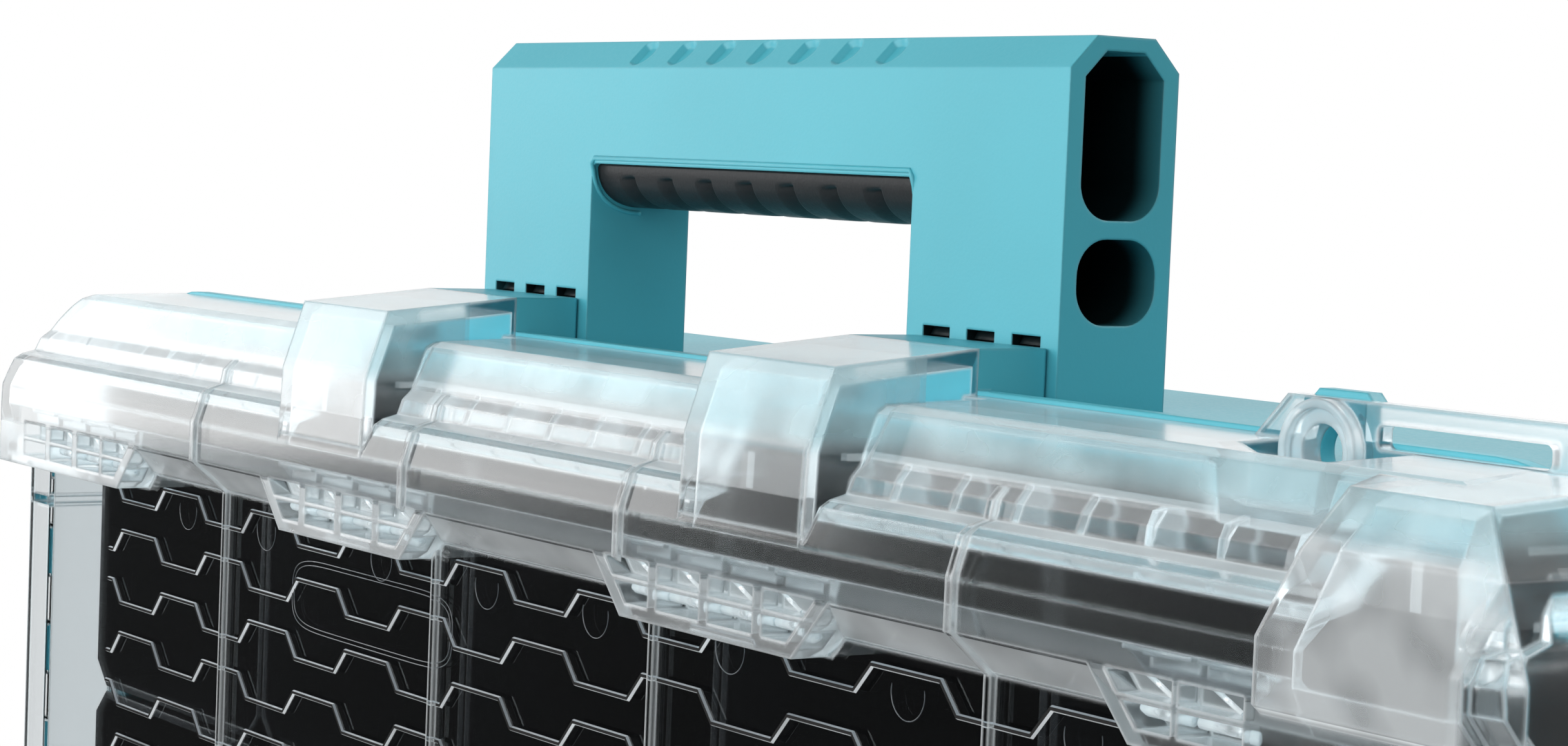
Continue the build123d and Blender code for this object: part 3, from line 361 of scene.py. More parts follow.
def pass_shadow_rays(tree, shader, tint):
    """Ends a clear material: it lets shadow rays through, tinted, so that what is behind it is lit."""
    let_light = add_node(tree, "ShaderNodeBsdfTransparent", {"Color": tint})
    shadow = add_node(tree, "ShaderNodeLightPath").outputs["Is Shadow Ray"]
    both = add_node(tree, "ShaderNodeMixShader", {0: shadow, 1: shader, 2: let_light})
    add_node(tree, "ShaderNodeOutputMaterial", {"Surface": both})


def clear_polycarbonate(name, tint, sizes):
    """Polycarbonate, moulded: polished over the window, so that it is clear, and lightly frosted over the
    brow and the guards, so that they go milky; its edges are made milky white, a painted highlight in place
    of the light they gather, and show as white lines."""
    material, tree, where = new_material(name)
    axes = add_node(tree, "ShaderNodeSeparateXYZ", {0: where}).outputs
    # how far over or under the lid's middle a point is
    offset = add_node(tree, "ShaderNodeMath", {0: axes[2], 1: sizes.middle_height}, operation="SUBTRACT")
    rise = add_node(tree, "ShaderNodeMath", {0: offset}, operation="ABSOLUTE")
    fore = add_node(tree, "ShaderNodeMath", {0: axes[1], 1: FORE_Y}, operation="LESS_THAN")
    frosted = frosted_places(tree, axes, rise, sizes)
    # edges, where the rounded normal leaves the flat one, get painted highlights: they turn milky white
    rounded = add_node(tree, "ShaderNodeBevel", {"Radius": 0.9 * MM}, samples=6)
    flat = add_node(tree, "ShaderNodeNewGeometry").outputs["True Normal"]
    same = add_node(
        tree, "ShaderNodeVectorMath", {0: rounded, 1: flat}, operation="DOT_PRODUCT"
    ).outputs["Value"]
    edge = add_node(
        tree, "ShaderNodeMapRange", {"Value": same, "From Min": 0.99, "From Max": 0.88, "To Max": 0.5}
    )
    # flow in the wall, about 14 mm across, and the tool's own sparkle, really 0.1 mm and drawn at 0.3 mm
    flow = add_node(
        tree, "ShaderNodeTexNoise", {"Vector": where, "Scale": 70.0, "Detail": 2.0, "Roughness": 0.5}
    )
    sparkle = add_node(tree, "ShaderNodeTexNoise", {"Vector": where, "Scale": 3500.0, "Detail": 1.0})
    cloudy = add_node(
        tree, "ShaderNodeMapRange", {"Value": flow, **NOISE_SPAN, "To Min": 0.8, "To Max": 1.15}
    )
    # the frosting is made whiter the flatter it is seen: partly real, since a frosted skin scatters more at a
    # slant, and partly a painted sheen
    slant = add_node(tree, "ShaderNodeLayerWeight", {"Blend": 0.5}).outputs["Facing"]
    white = add_node(
        tree, "ShaderNodeMapRange",
        {"Value": slant, "From Min": 0.3, "From Max": 0.66, "To Min": 0.005, "To Max": 0.42},
    )
    # the band, 13 mm high, is polished more, and stays dark; beyond is the share of milk left there
    band = add_node(tree, "ShaderNodeMath", {0: rise, 1: BAND_LEVEL, 2: BAND_HALF}, operation="COMPARE")
    beyond = add_node(tree, "ShaderNodeMapRange", {"Value": band, "To Min": 1.0, "To Max": 0.15})
    milk = cloudy
    for share in (frosted, white, beyond):
        milk = add_node(tree, "ShaderNodeMath", {0: milk, 1: share}, operation="MULTIPLY")
    # the guards, which stand furthest out, are frosted more, and in patches
    guard = add_node(
        tree, "ShaderNodeMapRange",
        {"Value": axes[1], "From Min": sizes.brow_face - 0.4 * MM, "From Max": sizes.brow_face - 0.9 * MM,
         "To Max": 0.3},
    )
    uneven = add_node(
        tree, "ShaderNodeMapRange", {"Value": flow, **PATCH_SPAN, "To Min": 0.6, "To Max": 1.25}
    )
    guard = add_node(tree, "ShaderNodeMath", {0: guard, 1: uneven}, operation="MULTIPLY")
    milk = add_node(tree, "ShaderNodeMath", {0: milk, 1: guard}, operation="ADD")
    # over the brow's step the wall is painted teal and milky, a painted glow in place of the base's teal seen
    # through it from behind, unless it is seen flat
    top = add_node(
        tree, "ShaderNodeMapRange",
        {"Value": rise, "From Min": TOP_LEVEL, "From Max": TOP_LEVEL + 2.7 * MM},
    )
    upright = add_node(tree, "ShaderNodeMapRange", {"Value": slant, "From Min": 0.72, "From Max": 0.5})
    painted_teal_share = add_node(tree, "ShaderNodeMath", {0: top, 1: upright}, operation="MULTIPLY")
    painted_teal_share = add_node(tree, "ShaderNodeMath", {0: painted_teal_share, 1: fore}, operation="MULTIPLY")
    painted_teal_tint = add_node(
        tree, "ShaderNodeMix", {0: painted_teal_share, 6: tint, 7: linear("#C4DCE1")}, data_type="RGBA"
    ).outputs[2]
    patchy = add_node(
        tree, "ShaderNodeMapRange", {"Value": flow, **PATCH_SPAN, "To Min": 0.16, "To Max": 0.4}
    )
    painted_teal_milk = add_node(tree, "ShaderNodeMath", {0: painted_teal_share, 1: patchy}, operation="MULTIPLY")
    # the whitest of these decides how little light goes through; the band and the window shine more sharply
    solid = milk
    for other in (lit_ribs(tree, axes, rise, sizes), eye_ring(tree, axes, fore), painted_teal_milk, edge):
        solid = add_node(tree, "ShaderNodeMath", {0: solid, 1: other}, operation="MAXIMUM")
    through = add_node(tree, "ShaderNodeMath", {0: 1.0, 1: solid}, operation="SUBTRACT", use_clamp=True)
    dull = add_node(tree, "ShaderNodeMapRange", {"Value": band, "To Min": 1.0, "To Max": 0.55})
    dull = add_node(tree, "ShaderNodeMath", {0: frosted, 1: dull}, operation="MULTIPLY")
    gloss = add_node(tree, "ShaderNodeMapRange", {"Value": dull, "To Min": 0.02, "To Max": 0.17})
    grit = add_node(tree, "ShaderNodeMath", {0: sparkle, 1: frosted}, operation="MULTIPLY")
    skin = add_node(
        tree, "ShaderNodeBump", {"Height": grit, "Distance": 0.04 * MM, "Strength": 0.05, "Normal": rounded}
    )
    glass = add_node(
        tree, "ShaderNodeBsdfPrincipled",
        {"Base Color": painted_teal_tint, "Roughness": gloss, "IOR": POLYCARBONATE_IOR, "Transmission Weight": through,
         "Normal": skin},
    )
    pass_shadow_rays(tree, glass, linear("#E6EEF0"))
    return material


def polished_polycarbonate(name, tint):
    """Polycarbonate, moulded against a mirror-polished tool: clear, with a faint ripple in its shine."""
    material, tree, where = new_material(name)
    # the ripple in the tool's polish is about 3 mm from crest to crest
    ripple = add_node(tree, "ShaderNodeTexNoise", {"Vector": where, "Scale": 1 / 0.003, "Detail": 2.0})
    gloss = add_node(
        tree, "ShaderNodeMapRange", {"Value": ripple, **NOISE_SPAN, "To Min": 0.01, "To Max": 0.06}
    )
    glass = add_node(
        tree, "ShaderNodeBsdfPrincipled",
        {"Base Color": tint, "Roughness": gloss, "IOR": POLYCARBONATE_IOR, "Transmission Weight": 1.0},
    )
    pass_shadow_rays(tree, glass, linear("#EEF3F4"))
    return material


def painted_highlight_edge(name, colour):
    """Polycarbonate edge, moulded: a thin flank drawn opaque in a flat colour, a painted highlight in place
    of the light it gathers from inside the wall; it shows as a line."""
    material, tree, where = new_material(name)
    # the line brightens and dims every 12 mm or so along the rib
    along = add_node(tree, "ShaderNodeTexNoise", {"Vector": where, "Scale": 1 / 0.012, "Detail": 2.0})
    tint, gloss = varied_finish(tree, along, colour, (0.7, 1.15), (0.15, 0.3))
    shader = add_node(
        tree, "ShaderNodeBsdfPrincipled", {"Base Color": tint, "Roughness": gloss, "IOR": POLYCARBONATE_IOR}
    )
    add_node(tree, "ShaderNodeOutputMaterial", {"Surface": shader})
    return material


def soft_elastomer(name, colour):
    """Thermoplastic elastomer, overmoulded: soft and matt, with a fine even grain that breaks up
    reflections."""
    material, tree, where = new_material(name)
    # the grain is about 0.2 mm; it is drawn at 0.5 mm so that it shows
    fine = add_node(tree, "ShaderNodeTexNoise", {"Vector": where, "Scale": 1 / 0.0005, "Detail": 2.0})
    tint, gloss = varied_finish(tree, fine, colour, (0.9, 1.1), (0.4, 0.5))
    skin = add_node(tree, "ShaderNodeBump", {"Height": fine, "Distance": 0.08 * MM, "Strength": 0.35})
    shader = add_node(
        tree, "ShaderNodeBsdfPrincipled",
        {"Base Color": tint, "Roughness": gloss, "IOR": ELASTOMER_IOR, "Normal": skin},
    )
    add_node(tree, "ShaderNodeOutputMaterial", {"Surface": shader})
    return material


def plated_steel(name):
    """Steel wire, drawn and zinc plated: fine lines round the rod and a soft grey shine."""
    material, tree, where = new_material(name)
    # drawing lines are about 1 mm apart round the rod and run its whole length
    stretched = add_node(tree, "ShaderNodeMapping", {"Vector": where, "Scale": (1.0, 1.0, 0.02)})
    lines = add_node(tree, "ShaderNodeTexNoise", {"Vector": stretched, "Scale": 900.0, "Detail": 2.0})
    tint, gloss = varied_finish(tree, lines, linear("#B9BCBE"), (0.94, 1.06), (0.25, 0.4))
    shader = add_node(
        tree, "ShaderNodeBsdfPrincipled", {"Base Color": tint, "Metallic": 1.0, "Roughness": gloss}
    )
    add_node(tree, "ShaderNodeOutputMaterial", {"Surface": shader})
    return material


def paint_nodes(names, material):
    """Gives each frame node one material."""
    for name in names:
        slots = frame["nodes"][name].data.materials
        slots.clear()
        slots.append(material)


# ---------------------------------------------------------------- surfaces


def mesh_piece(name, form, materials, body, face_materials=(), smooth=True):
    """A mesh object from its points and faces, riding on a body."""
    points, faces = form
    mesh = bpy.data.meshes.new(name)
    mesh.from_pydata(points.tolist(), [], faces)
    for material in materials:
        mesh.materials.append(material)
    if face_materials:
        mesh.polygons.foreach_set("material_index", face_materials)
    mesh.polygons.foreach_set("use_smooth", np.full(len(faces), smooth))
    mesh.update()
    piece = bpy.data.objects.new(name, mesh)
    bpy.context.scene.collection.objects.link(piece)
    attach(piece, body)
    return piece


def joined(forms):
    """Several forms as one: the points follow each other, and each form's faces are numbered on."""
    points, faces, count = [], [], 0
    for more, loops in forms:
        points.append(more)
        faces += [(np.array(loop) + count).tolist() for loop in loops]
        count += len(more)
    return np.vstack(points), faces


def grid_faces(rows, columns, wrap_rows=False, wrap_columns=False):
    """Quads between neighbours of a rows x columns grid, numbered row by row."""
    r = np.arange(rows if wrap_rows else rows - 1)
    c = np.arange(columns if wrap_columns else columns - 1)
    r, c = np.meshgrid(r, c, indexing="ij")
    r2, c2 = (r + 1) % rows, (c + 1) % columns
    quads = np.stack([r * columns + c, r * columns + c2, r2 * columns + c2, r2 * columns + c], -1)
    return quads.reshape(-1, 4)


def zigzag_path(sizes, row):
    """Corner points (x, z) of one zigzag rib: a flat run of 0.803 pitch at each step, high and low in
    turn."""
    step = np.arange(-3, 19)
    high = np.where((step + row + 1) % 2 == 0, 1.0, -1.0) * sizes.zigzag_swing
    # the steps reach past both ends of the window, and step 8 is in its middle but for 0.09 mm
    middle = step * sizes.zigzag_pitch - 144.09 * MM
    run = 0.803 / 2 * sizes.zigzag_pitch
    x = np.stack([middle - run, middle + run], -1).reshape(-1)
    z = sizes.zigzag_top - row * sizes.zigzag_row_pitch + np.repeat(high, 2)
    return x, z


def clip_path(x, z, low, high):
    """The path cut at x = low and x = high, with the end points interpolated."""
    inside = (x > low) & (x < high)
    x_all = np.concatenate([[low], x[inside], [high]])
    return x_all, np.interp(x_all, x, z)


def tube(path, radius, sides, closed=False):
    """A round tube along a path: each ring is p + r (n cos t + b sin t), with n square to the tangent and to
    a fixed slanting line, and b square to both; its ends are closed by fans."""
    tangent = np.gradient(path, axis=0)
    if closed:
        tangent = np.roll(path, -1, 0) - np.roll(path, 1, 0)
    tangent /= np.linalg.norm(tangent, axis=1, keepdims=True)
    normal = np.cross(tangent, (0.577, 0.577, 0.577))
    normal /= np.linalg.norm(normal, axis=1, keepdims=True)
    other = np.cross(tangent, normal)
    turn = np.linspace(0, 2 * np.pi, sides, endpoint=False)[None, :, None]
    rings = path[:, None] + radius * (normal[:, None] * np.cos(turn) + other[:, None] * np.sin(turn))
    count = len(path)
    faces = grid_faces(count, sides, wrap_rows=closed, wrap_columns=True)[:, ::-1].tolist()
    if not closed:
        faces += [list(range(sides - 1, -1, -1)), list(range((count - 1) * sides, count * sides))]
    return rings.reshape(-1, 3), faces


def strip(x, z, y, offsets, heights):
    """A ridge along a path in the window's plane: at each corner the section's points are set off along the
    mitred normal by offsets and stand out of the plane by heights."""
    direction = np.stack([np.diff(x), np.diff(z)], -1)
    direction /= np.linalg.norm(direction, axis=1, keepdims=True)
    normal = np.stack([-direction[:, 1], direction[:, 0]], -1)
    before, after = np.vstack([normal[:1], normal]), np.vstack([normal, normal[-1:]])
    mitre = before + after
    mitre /= np.sum(mitre * after, 1, keepdims=True)
    flat = np.stack([x, z], -1)[:, None, :] + mitre[:, None, :] * np.asarray(offsets)[None, :, None]
    depth = np.broadcast_to(y - np.asarray(heights)[None, :], flat.shape[:2])
    return np.stack([flat[..., 0], depth, flat[..., 1]], -1)


def rod(ends, y, z, radius, sides=16):
    """A round rod along X: p = (x, y + r cos t, z + r sin t) at both ends, each closed by a fan."""
    turn = np.linspace(0, 2 * np.pi, sides, endpoint=False)
    y_ring, z_ring = y + radius * np.cos(turn), z + radius * np.sin(turn)
    rings = np.stack(np.broadcast_arrays(np.array(ends)[:, None], y_ring, z_ring), -1)
    faces = grid_faces(2, sides, wrap_columns=True).tolist()
    faces += [list(range(sides - 1, -1, -1)), list(range(sides, 2 * sides))]
    return rings.reshape(-1, 3), faces


def tab_windows(sizes):
    """X of the middle of each window in the tabs, and half its width: four in each tab either side of the
    lid's middle, two towards each end, and one at the left end."""
    tab = sizes.tab_centre + np.array([-17.5, -6.35, 6.35, 17.5]) * MM
    outer = np.array([143.0, 154.2]) * MM
    middles = np.concatenate([tab, -tab, outer, -outer, [-166.9 * MM]])
    halves = np.array([3.9, 5.4, 5.4, 3.9] * 2 + [3.9, 5.4] * 2 + [5.4]) * MM
    return middles, halves


def crescents(sizes):
    """Paths of the ejector marks along the window's upper and lower edge: p = c + r (cos t, sin t), over a
    little more than half a turn."""
    radius, level = 3.5 * MM, 103.4 * MM
    turn = np.linspace(-np.pi * 1.08, np.pi * 0.08, 25)
    return [
        np.stack([
            x * MM + radius * np.cos(turn),
            np.full(len(turn), sizes.window_face),
            sizes.middle_height + side * (level + radius * np.sin(turn)),
        ], -1)
        for x in (-123.2, -91.7, -50.1, -16.1, 15.4, 50.2, 90.3, 124.5)
        for side in (1, -1)
    ]


def insert_outlines(sizes):
    """Paths of the insert's double outline, a rounded rectangle: p = c + (a |cos t|^(1/4), b |sin t|^0.6),
    each with its sign."""
    turn = np.linspace(0, 2 * np.pi, 96, endpoint=False)
    across = np.sign(np.cos(turn)) * np.abs(np.cos(turn)) ** 0.25
    up = np.sign(np.sin(turn)) * np.abs(np.sin(turn)) ** 0.6
    return [
        np.stack([
            -53.7 * MM + (27.5 * MM - inset) * across,
            np.full(len(turn), sizes.window_face),
            240.2 * MM + (6.0 * MM - inset) * up,
        ], -1)
        for inset in (0.0, 0.7 * MM)
    ]


def grip_section(angle, half, drop):
    """Half a superellipse hung from the bar: y = -b cos(a)^p, z = -c sin(a)^p, with a from 0 to pi."""
    across, down = np.cos(angle), np.sin(angle)
    return -np.sign(across) * np.abs(across) ** GRIP_POWER * half, -(down**GRIP_POWER) * drop


def grip_form(sizes):
    """The grip's section carried along X and pressed in at seven finger hollows. Each hollow starts at a step
    near the top of each side, slopes in from its left, and ends at a steep wall on its right."""
    x = np.linspace(GRIP_LOW[0] - 1.1 * MM, GRIP_HIGH[0] + 1.1 * MM, 420)[:, None]
    angle = np.linspace(0.0, np.pi, 73)[None, :]
    y, z = grip_section(angle, GRIP_HALF, GRIP_DROP)
    down = np.sin(angle)
    # u is the place across one hollow, with 0 in its middle
    pitch, shift = sizes.hollow_pitch, sizes.hollow_shift
    u = (x - shift + 0.5 * pitch) % pitch - 0.5 * pitch
    slope = np.clip((u + 3.0 * MM) / (3.6 * MM), 0.0, 1.0) ** 1.5
    wall = np.clip((1.9 * MM - u) / (0.5 * MM), 0.0, 1.0)
    inside = np.clip((3.5 * pitch - np.abs(x - shift)) / (0.2 * MM), 0.0, 1.0)
    step = np.clip((down - 0.24) / 0.05, 0.0, 1.0)
    dent = sizes.hollow_depth * slope * wall * inside * step
    y, z = y * (1 - dent / GRIP_HALF * 0.8), z + dent * down
    grid = np.stack([x + 0 * y, GRIP_MIDDLE + y, GRIP_HIGH[2] + z], -1)
    rows, columns = grid.shape[:2]
    last = (rows - 1) * columns
    faces = grid_faces(rows, columns, wrap_columns=True)[:, ::-1].tolist()
    faces += [list(range(columns)), list(range(last + columns - 1, last - 1, -1))]
    return grid.reshape(-1, 3), faces


def bead_path():
    """The bead's way: up one leg's inner face round the grip's end, along the bar, and down the other
    leg's."""
    y, z = grip_section(np.linspace(np.pi / 2, 0.12, 24), GRIP_HALF + 0.8 * MM, GRIP_DROP + 0.9 * MM)
    side, face, top = GRIP_HIGH[0] + 1.2 * MM, HANDLE_LOW[1], GRIP_HIGH[2]
    rise = np.stack([np.full(len(y), -side), GRIP_MIDDLE + y, top + z], -1)
    corner = np.array([[-side + 0.1 * MM, face - 0.1 * MM, top]])
    run = np.array([[-side + 0.7 * MM, face, top + 0.9 * MM]])
    flip = np.array([-1.0, 1.0, 1.0])
    return np.vstack([rise, corner, run, run * flip, corner * flip, rise[::-1] * flip])


# ---------------------------------------------------------------- stage


def placed(place, right, up, back):
    """The matrix of an object at a place, with its own axes along three unit vectors."""
    return Matrix.Translation(place) @ Matrix(np.array([right, up, back]).T.tolist()).to_4x4()


def seen_rays(tree):
    """The Light Path sockets, 1 for a ray that has only gone straight through the lid, and 1 for such a ray
    or the camera's own."""
    rays = add_node(tree, "ShaderNodeLightPath").outputs
    straight = add_node(
        tree, "ShaderNodeMath", {0: rays["Is Transmission Ray"], 1: rays["Glossy Depth"]},
        operation="SUBTRACT", use_clamp=True,
    )
    seen = add_node(tree, "ShaderNodeMath", {0: rays["Is Camera Ray"], 1: straight}, operation="MAXIMUM")
    return rays, straight, seen


def studio_floor_paint(name):
    """Matt paint, rolled: pale, and fading to plain white away from the case. It looks pale also straight
    through the lid, and reflects as dark as the room before the case."""
    material, tree, where = new_material(name)
    radius = add_node(tree, "ShaderNodeVectorMath", {0: where}, operation="LENGTH").outputs["Value"]
    rays, straight, seen = seen_rays(tree)
    mirrored = add_node(
        tree, "ShaderNodeMath", {0: rays["Is Glossy Ray"], 1: straight}, operation="SUBTRACT",
        use_clamp=True,
    )
    pale = add_node(
        tree, "ShaderNodeMix", {0: mirrored, 6: linear("#ECECEC"), 7: linear("#2A2A2A")}, data_type="RGBA"
    )
    matt = add_node(tree, "ShaderNodeBsdfDiffuse", {"Color": pale.outputs[2], "Roughness": 0.3})
    white = add_node(tree, "ShaderNodeEmission", {"Color": (1, 1, 1, 1), "Strength": 1.0})
    fade = add_node(tree, "ShaderNodeMapRange", {"Value": radius, "From Min": 0.4, "From Max": 0.78})
    blend = add_node(tree, "ShaderNodeMath", {0: fade, 1: seen}, operation="MULTIPLY")
    both = add_node(tree, "ShaderNodeMixShader", {0: blend, 1: matt, 2: white})
    add_node(tree, "ShaderNodeOutputMaterial", {"Surface": both})
    return material


def add_floor(scene):
    """A round floor: p = r (cos t, sin t, 0)."""
    turn = np.linspace(0, 2 * np.pi, 96, endpoint=False)
    rim = np.stack([FLOOR_RADIUS * np.cos(turn), FLOOR_RADIUS * np.sin(turn), 0 * turn], -1)
    mesh = bpy.data.meshes.new("floor_disc")
    mesh.from_pydata(rim.tolist(), [], [list(range(len(turn)))])
    mesh.materials.append(studio_floor_paint("white studio floor"))
    floor = bpy.data.objects.new("studio_floor", mesh)
    scene.collection.objects.link(floor)


def add_studio_world(scene):
    """A studio that is bright behind the case and dim in front of it; the camera sees white everywhere,
    straight through the lid too."""
    world = bpy.data.worlds.new("white studio")
    world.use_nodes = True
    tree = world.node_tree
    tree.nodes.clear()
    # the bright side is 30 degrees to the left of straight behind the case
    ahead = add_node(tree, "ShaderNodeTexCoord").outputs["Generated"]
    facing = add_node(
        tree, "ShaderNodeVectorMath", {0: ahead, 1: (-0.5, 0.866, 0.0)}, operation="DOT_PRODUCT"
    ).outputs["Value"]
    glow = add_node(
        tree, "ShaderNodeMapRange",
        {"Value": facing, "From Min": 0.25, "From Max": 0.6, "To Min": 0.03, "To Max": 1.0},
    )
    seen = seen_rays(tree)[-1]
    strength = add_node(tree, "ShaderNodeMath", {0: glow, 1: seen}, operation="MAXIMUM")
    back = add_node(tree, "ShaderNodeBackground", {"Color": (1, 1, 1, 1), "Strength": strength})
    add_node(tree, "ShaderNodeOutputWorld", {"Surface": back})
    scene.world = world


def add_softboxes(scene):
    """Area lamps whose own Z axis points away from the aim, with their X axis level."""
    for name, (place, size, power) in SOFTBOXES.items():
        lamp = bpy.data.lights.new(name, "AREA")
        lamp.shape, lamp.energy = "RECTANGLE", power
        lamp.size, lamp.size_y = size
        holder = bpy.data.objects.new(name, lamp)
        away = np.array(place) - np.array(STUDIO_AIM)
        away /= np.linalg.norm(away)
        right = np.cross((0, 0, 1.0), away)
        right /= np.linalg.norm(right)
        holder.matrix_world = placed(place, right, np.cross(away, right), away)
        scene.collection.objects.link(holder)


def add_camera(scene):
    """The camera: turned by yaw about Z from looking along Y, then by pitch, then rolled about its view."""
    yaw, pitch, roll = CAMERA_YAW, CAMERA_PITCH, CAMERA_ROLL
    ahead = np.array([-math.sin(yaw) * math.cos(pitch), math.cos(yaw) * math.cos(pitch), math.sin(pitch)])
    level = np.array([math.cos(yaw), math.sin(yaw), 0.0])
    over = np.cross(level, ahead)
    right = math.cos(roll) * level + math.sin(roll) * over
    up = -math.sin(roll) * level + math.cos(roll) * over
    lens = bpy.data.cameras.new("case camera")
    lens.sensor_fit, lens.sensor_width, lens.lens = "HORIZONTAL", SENSOR_MM, LENS_MM
    lens.clip_start = 0.01
    camera = bpy.data.objects.new("case camera", lens)
    camera.matrix_world = placed(CAMERA_PLACE, right, up, -ahead)
    scene.collection.objects.link(camera)
    scene.camera = camera


# ---------------------------------------------------------------- operators


class CASE_OT_shell_finish(bpy.types.Operator):
    """Gives the base, the handle, the bins, the latches and the pins their finishes"""

    bl_idname = "case.shell_finish"
    bl_label = "Shell, bins and hardware"

    def execute(self, context):
        colours = context.scene.case_colours
        low, high, middle = HANDLE_LOW[2], HANDLE_HIGH[2], HANDLE_MIDDLE
        # painted shade goes in both hollows in each leg, as one box, and in the hollow foot behind the leg's
        # slots, as their painted shadow
        leg = (
            (44.5 * MM, middle - 7.1 * MM, high - 40.0 * MM),
            (HANDLE_HIGH[0] - 0.1 * MM, middle + 7.1 * MM, high - 2.4 * MM),
        )
        foot = (
            (46.0 * MM, middle - 9.4 * MM, low + 1.0 * MM),
            (74.5 * MM, middle + 7.1 * MM, low + 10.4 * MM),
        )
        teal = moulded_polypropylene(
            "teal polypropylene, satin", colours.teal, grain=0.6 * MM, roughness=0.4, hollows=(leg, foot)
        )
        bin_black = moulded_polypropylene(
            "black polypropylene, smooth", colours.black, grain=0.8 * MM, roughness=0.22
        )
        latch_black = moulded_polypropylene(
            "black polypropylene, satin", colours.black, grain=0.6 * MM, roughness=0.45
        )
        paint_nodes(("base_shell", "handle"), teal)
        paint_nodes([name for name in frame["nodes"] if "_bin_" in name], bin_black)
        paint_nodes(("latch_upper", "latch_lower"), latch_black)
        paint_nodes([name for name in frame["nodes"] if "pin_" in name], plated_steel("plated steel wire"))
        return {"FINISHED"}


class CASE_OT_lid_finish(bpy.types.Operator):
    """Gives the lid its clear finish"""

    bl_idname = "case.lid_finish"
    bl_label = "Clear lid"

    def execute(self, context):
        clear = clear_polycarbonate(
            "clear polycarbonate", context.scene.case_colours.clear, context.scene.case_sizes
        )
        paint_nodes(("lid",), clear)
        return {"FINISHED"}


class CASE_OT_zigzag_ribs(bpy.types.Operator):
    """Builds the low zigzag ribs on the window's face"""

    bl_idname = "case.zigzag_ribs"
    bl_label = "Zigzag ribs"

    def execute(self, context):
        sizes = context.scene.case_sizes
        half, high = sizes.rib_width / 2, sizes.rib_height
        # the section goes down the rib: foot, top's upper edge, top's lower edge, foot
        offsets, heights = (half, half - 0.15 * MM, 0.22 * MM - half, -half), (0, high, high, 0)
        # the ribs' feet are sunk 0.02 mm into the window
        foot = sizes.window_face + 0.02 * MM
        ribs, marks = [], []
        for row in range(sizes.zigzag_rows):
            x, z = clip_path(*zigzag_path(sizes, row), -WINDOW_END, WINDOW_END)
            points = strip(x, z, foot, offsets, heights).reshape(-1, 3)
            last = len(points) - 4
            quads = grid_faces(len(x), 4, wrap_columns=True)[:, ::-1].tolist()
            ribs.append((points, [*quads, [0, 1, 2, 3], [last + 3, last + 2, last + 1, last]]))
            # upper flank a dim painted highlight in grey, top clear, lower flank a bright painted highlight;
            # the foot and both ends are clear
            marks += [1, 0, 2, 0] * (len(x) - 1) + [0, 0]
        materials = [
            polished_polycarbonate("clear polycarbonate, polished", context.scene.case_colours.clear),
            painted_highlight_edge("polycarbonate edge, grey painted highlight", linear("#8F969B")),
            painted_highlight_edge("polycarbonate edge, bright painted highlight", linear("#E9EDEF")),
        ]
        mesh_piece("window_zigzag_ribs", joined(ribs), materials, "lid", marks, smooth=False)
        return {"FINISHED"}


class CASE_OT_tab_rods(bpy.types.Operator):
    """Builds the round rods across the windows in the tabs, over and under the lid's window"""

    bl_idname = "case.tab_rods"
    bl_label = "Tab rods"

    def execute(self, context):
        sizes = context.scene.case_sizes
        y = sizes.window_face - 3.6 * MM
        rods = [
            rod((x - half, x + half), y, sizes.middle_height + side * ROD_LEVEL, sizes.rod_radius)
            for side in (1, -1)
            for x, half in zip(*tab_windows(sizes))
        ]
        clear = bpy.data.materials["clear polycarbonate"]
        mesh_piece("tab_rods", joined(rods), [clear], "lid")
        return {"FINISHED"}


class CASE_OT_tab_gussets(bpy.types.Operator):
    """Builds the slanting gussets across the outer corners of the tab windows"""

    bl_idname = "case.tab_gussets"
    bl_label = "Tab gussets"

    def execute(self, context):
        sizes = context.scene.case_sizes
        y = sizes.window_face - 3.2 * MM
        # each one slants from its window's outer left corner to just past the window's middle
        gussets = [
            tube(
                np.array([
                    [x - 4.4 * MM, y, sizes.middle_height + side * 113.6 * MM],
                    [x + 0.6 * MM, y, sizes.middle_height + side * 111.3 * MM],
                ]),
                0.35 * MM, 8,
            )
            for x in tab_windows(sizes)[0]
            for side in (1, -1)
        ]
        clear = bpy.data.materials["clear polycarbonate"]
        mesh_piece("tab_gussets", joined(gussets), [clear], "lid")
        return {"FINISHED"}


class CASE_OT_brow_ribs(bpy.types.Operator):
    """Builds the last short ribs inside the brow, towards both ends"""

    bl_idname = "case.brow_ribs"
    bl_label = "Brow ribs"

    def execute(self, context):
        sizes = context.scene.case_sizes
        places = np.array([-14, -13, -12, -11, 11, 12, 13]) * RIB_PITCH
        corners = np.array([[x, y, z] for x in (-1, 1) for y in (-1, 1) for z in (-1, 1)])
        half = np.array([0.6, 2.6, 2.3]) * MM
        middles = np.array([
            [x, sizes.window_face + 3.8 * MM, sizes.middle_height + side * RIB_LEVEL]
            for side in (1, -1) for x in places
        ])
        points = (middles[:, None] + corners * half).reshape(-1, 3)
        box = np.array([[0, 1, 3, 2], [4, 6, 7, 5], [0, 4, 5, 1], [2, 3, 7, 6], [0, 2, 6, 4], [1, 5, 7, 3]])
        faces = (8 * np.arange(len(middles))[:, None, None] + box).reshape(-1, 4).tolist()
        clear = bpy.data.materials["clear polycarbonate"]
        mesh_piece("brow_ribs", (points, faces), [clear], "lid", smooth=False)
        return {"FINISHED"}


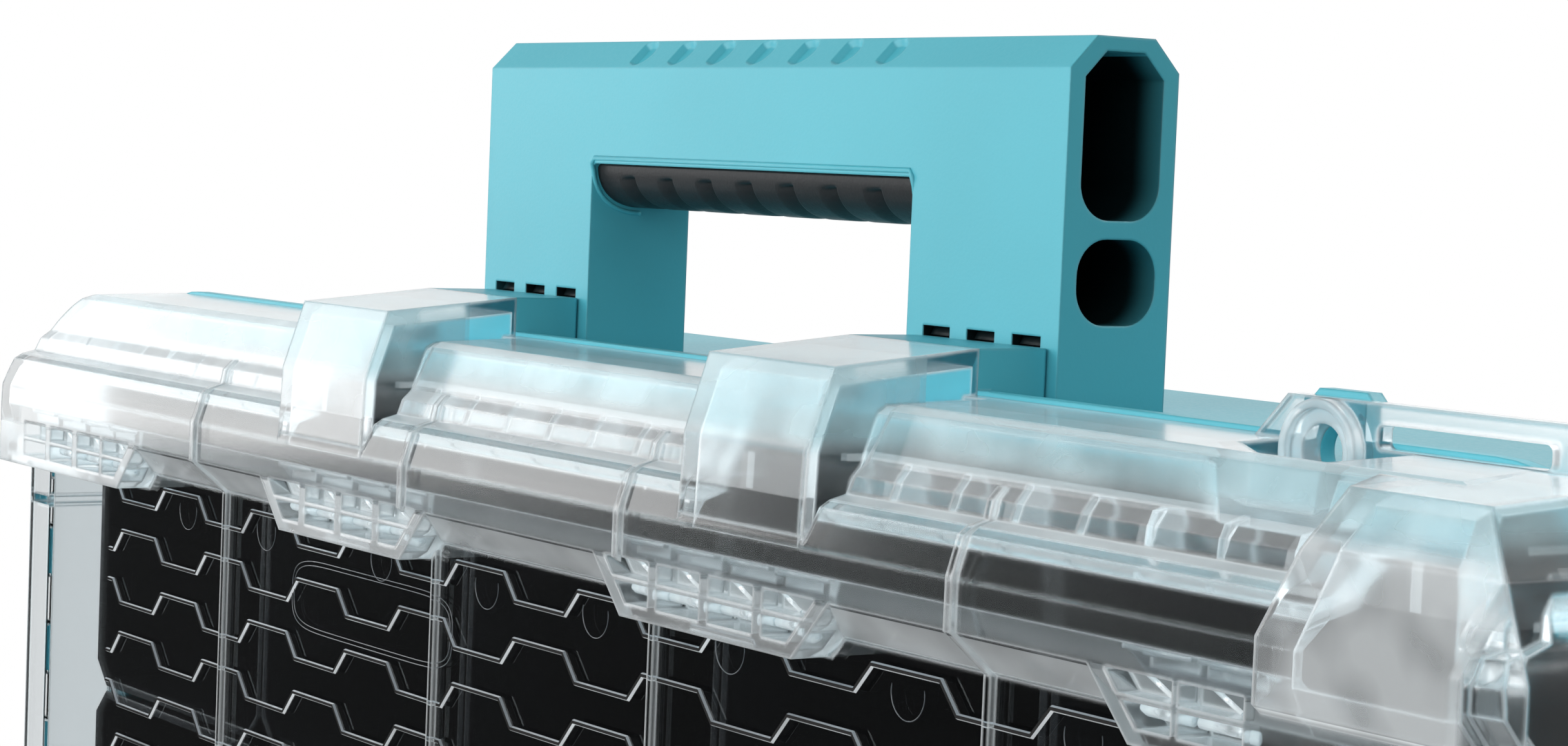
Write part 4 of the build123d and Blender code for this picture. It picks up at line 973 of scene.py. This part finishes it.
class CASE_OT_mould_marks(bpy.types.Operator):
    """Builds the faint raised marks on the window: ejector crescents and the outline of an insert"""

    bl_idname = "case.mould_marks"
    bl_label = "Mould marks"

    def execute(self, context):
        sizes = context.scene.case_sizes
        radius, sides = 0.09 * MM, 6
        marks = [tube(path, radius, sides) for path in crescents(sizes)]
        marks += [tube(path, radius, sides, closed=True) for path in insert_outlines(sizes)]
        # the marks are drawn opaque in dark grey: a faint painted highlight on the window
        faint = painted_highlight_edge("polycarbonate edge, faint painted highlight", linear("#4A4F53"))
        mesh_piece("window_mould_marks", joined(marks), [faint], "lid")
        return {"FINISHED"}


class CASE_OT_soft_grip(bpy.types.Operator):
    """Builds the soft grip with its finger hollows, and the bead round it"""

    bl_idname = "case.soft_grip"
    bl_label = "Soft grip"

    def execute(self, context):
        body = frame["nodes"]["handle_grip"]["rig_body"]
        rubber = soft_elastomer("black elastomer, matt", context.scene.case_colours.grip)
        piece = mesh_piece("soft_grip", grip_form(context.scene.case_sizes), [rubber], body)
        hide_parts("handle_grip")
        teal = bpy.data.materials["teal polypropylene, satin"]
        mesh_piece("grip_bead", tube(bead_path(), 0.4 * MM, 10), [teal], body)
        return {"FINISHED"}


class CASE_OT_stage(bpy.types.Operator):
    """Sets the floor, the studio light and the camera"""

    bl_idname = "case.stage"
    bl_label = "Stage"

    def execute(self, context):
        scene = context.scene
        add_floor(scene)
        add_studio_world(scene)
        add_softboxes(scene)
        add_camera(scene)
        scene.view_settings.view_transform = "Standard"
        return {"FINISHED"}


class CASE_PT_panel(bpy.types.Panel):
    """Lists the steps that build the case's looks"""

    bl_label = "Storage case"
    bl_idname = "CASE_PT_panel"
    bl_space_type = "VIEW_3D"
    bl_region_type = "UI"
    bl_category = "Case"

    def draw(self, context):
        for settings in (context.scene.case_sizes, context.scene.case_colours):
            for name in settings.__annotations__:
                self.layout.prop(settings, name)
        for step in STEPS:
            self.layout.operator(step.bl_idname)


STEPS = (
    CASE_OT_shell_finish,
    CASE_OT_lid_finish,
    CASE_OT_zigzag_ribs,
    CASE_OT_tab_rods,
    CASE_OT_tab_gussets,
    CASE_OT_brow_ribs,
    CASE_OT_mould_marks,
    CASE_OT_soft_grip,
    CASE_OT_stage,
)
CLASSES = (CaseSizes, CaseColours, *STEPS, CASE_PT_panel)


def register():
    for cls in CLASSES:
        bpy.utils.register_class(cls)
    bpy.types.Scene.case_sizes = bpy.props.PointerProperty(type=CaseSizes)
    bpy.types.Scene.case_colours = bpy.props.PointerProperty(type=CaseColours)


def unregister():
    del bpy.types.Scene.case_colours
    del bpy.types.Scene.case_sizes
    for cls in reversed(CLASSES):
        bpy.utils.unregister_class(cls)


def main():
    register()
    for step in STEPS:
        group, name = step.bl_idname.split(".")
        getattr(getattr(bpy.ops, group), name)()


if __name__ == "__main__":
    main()
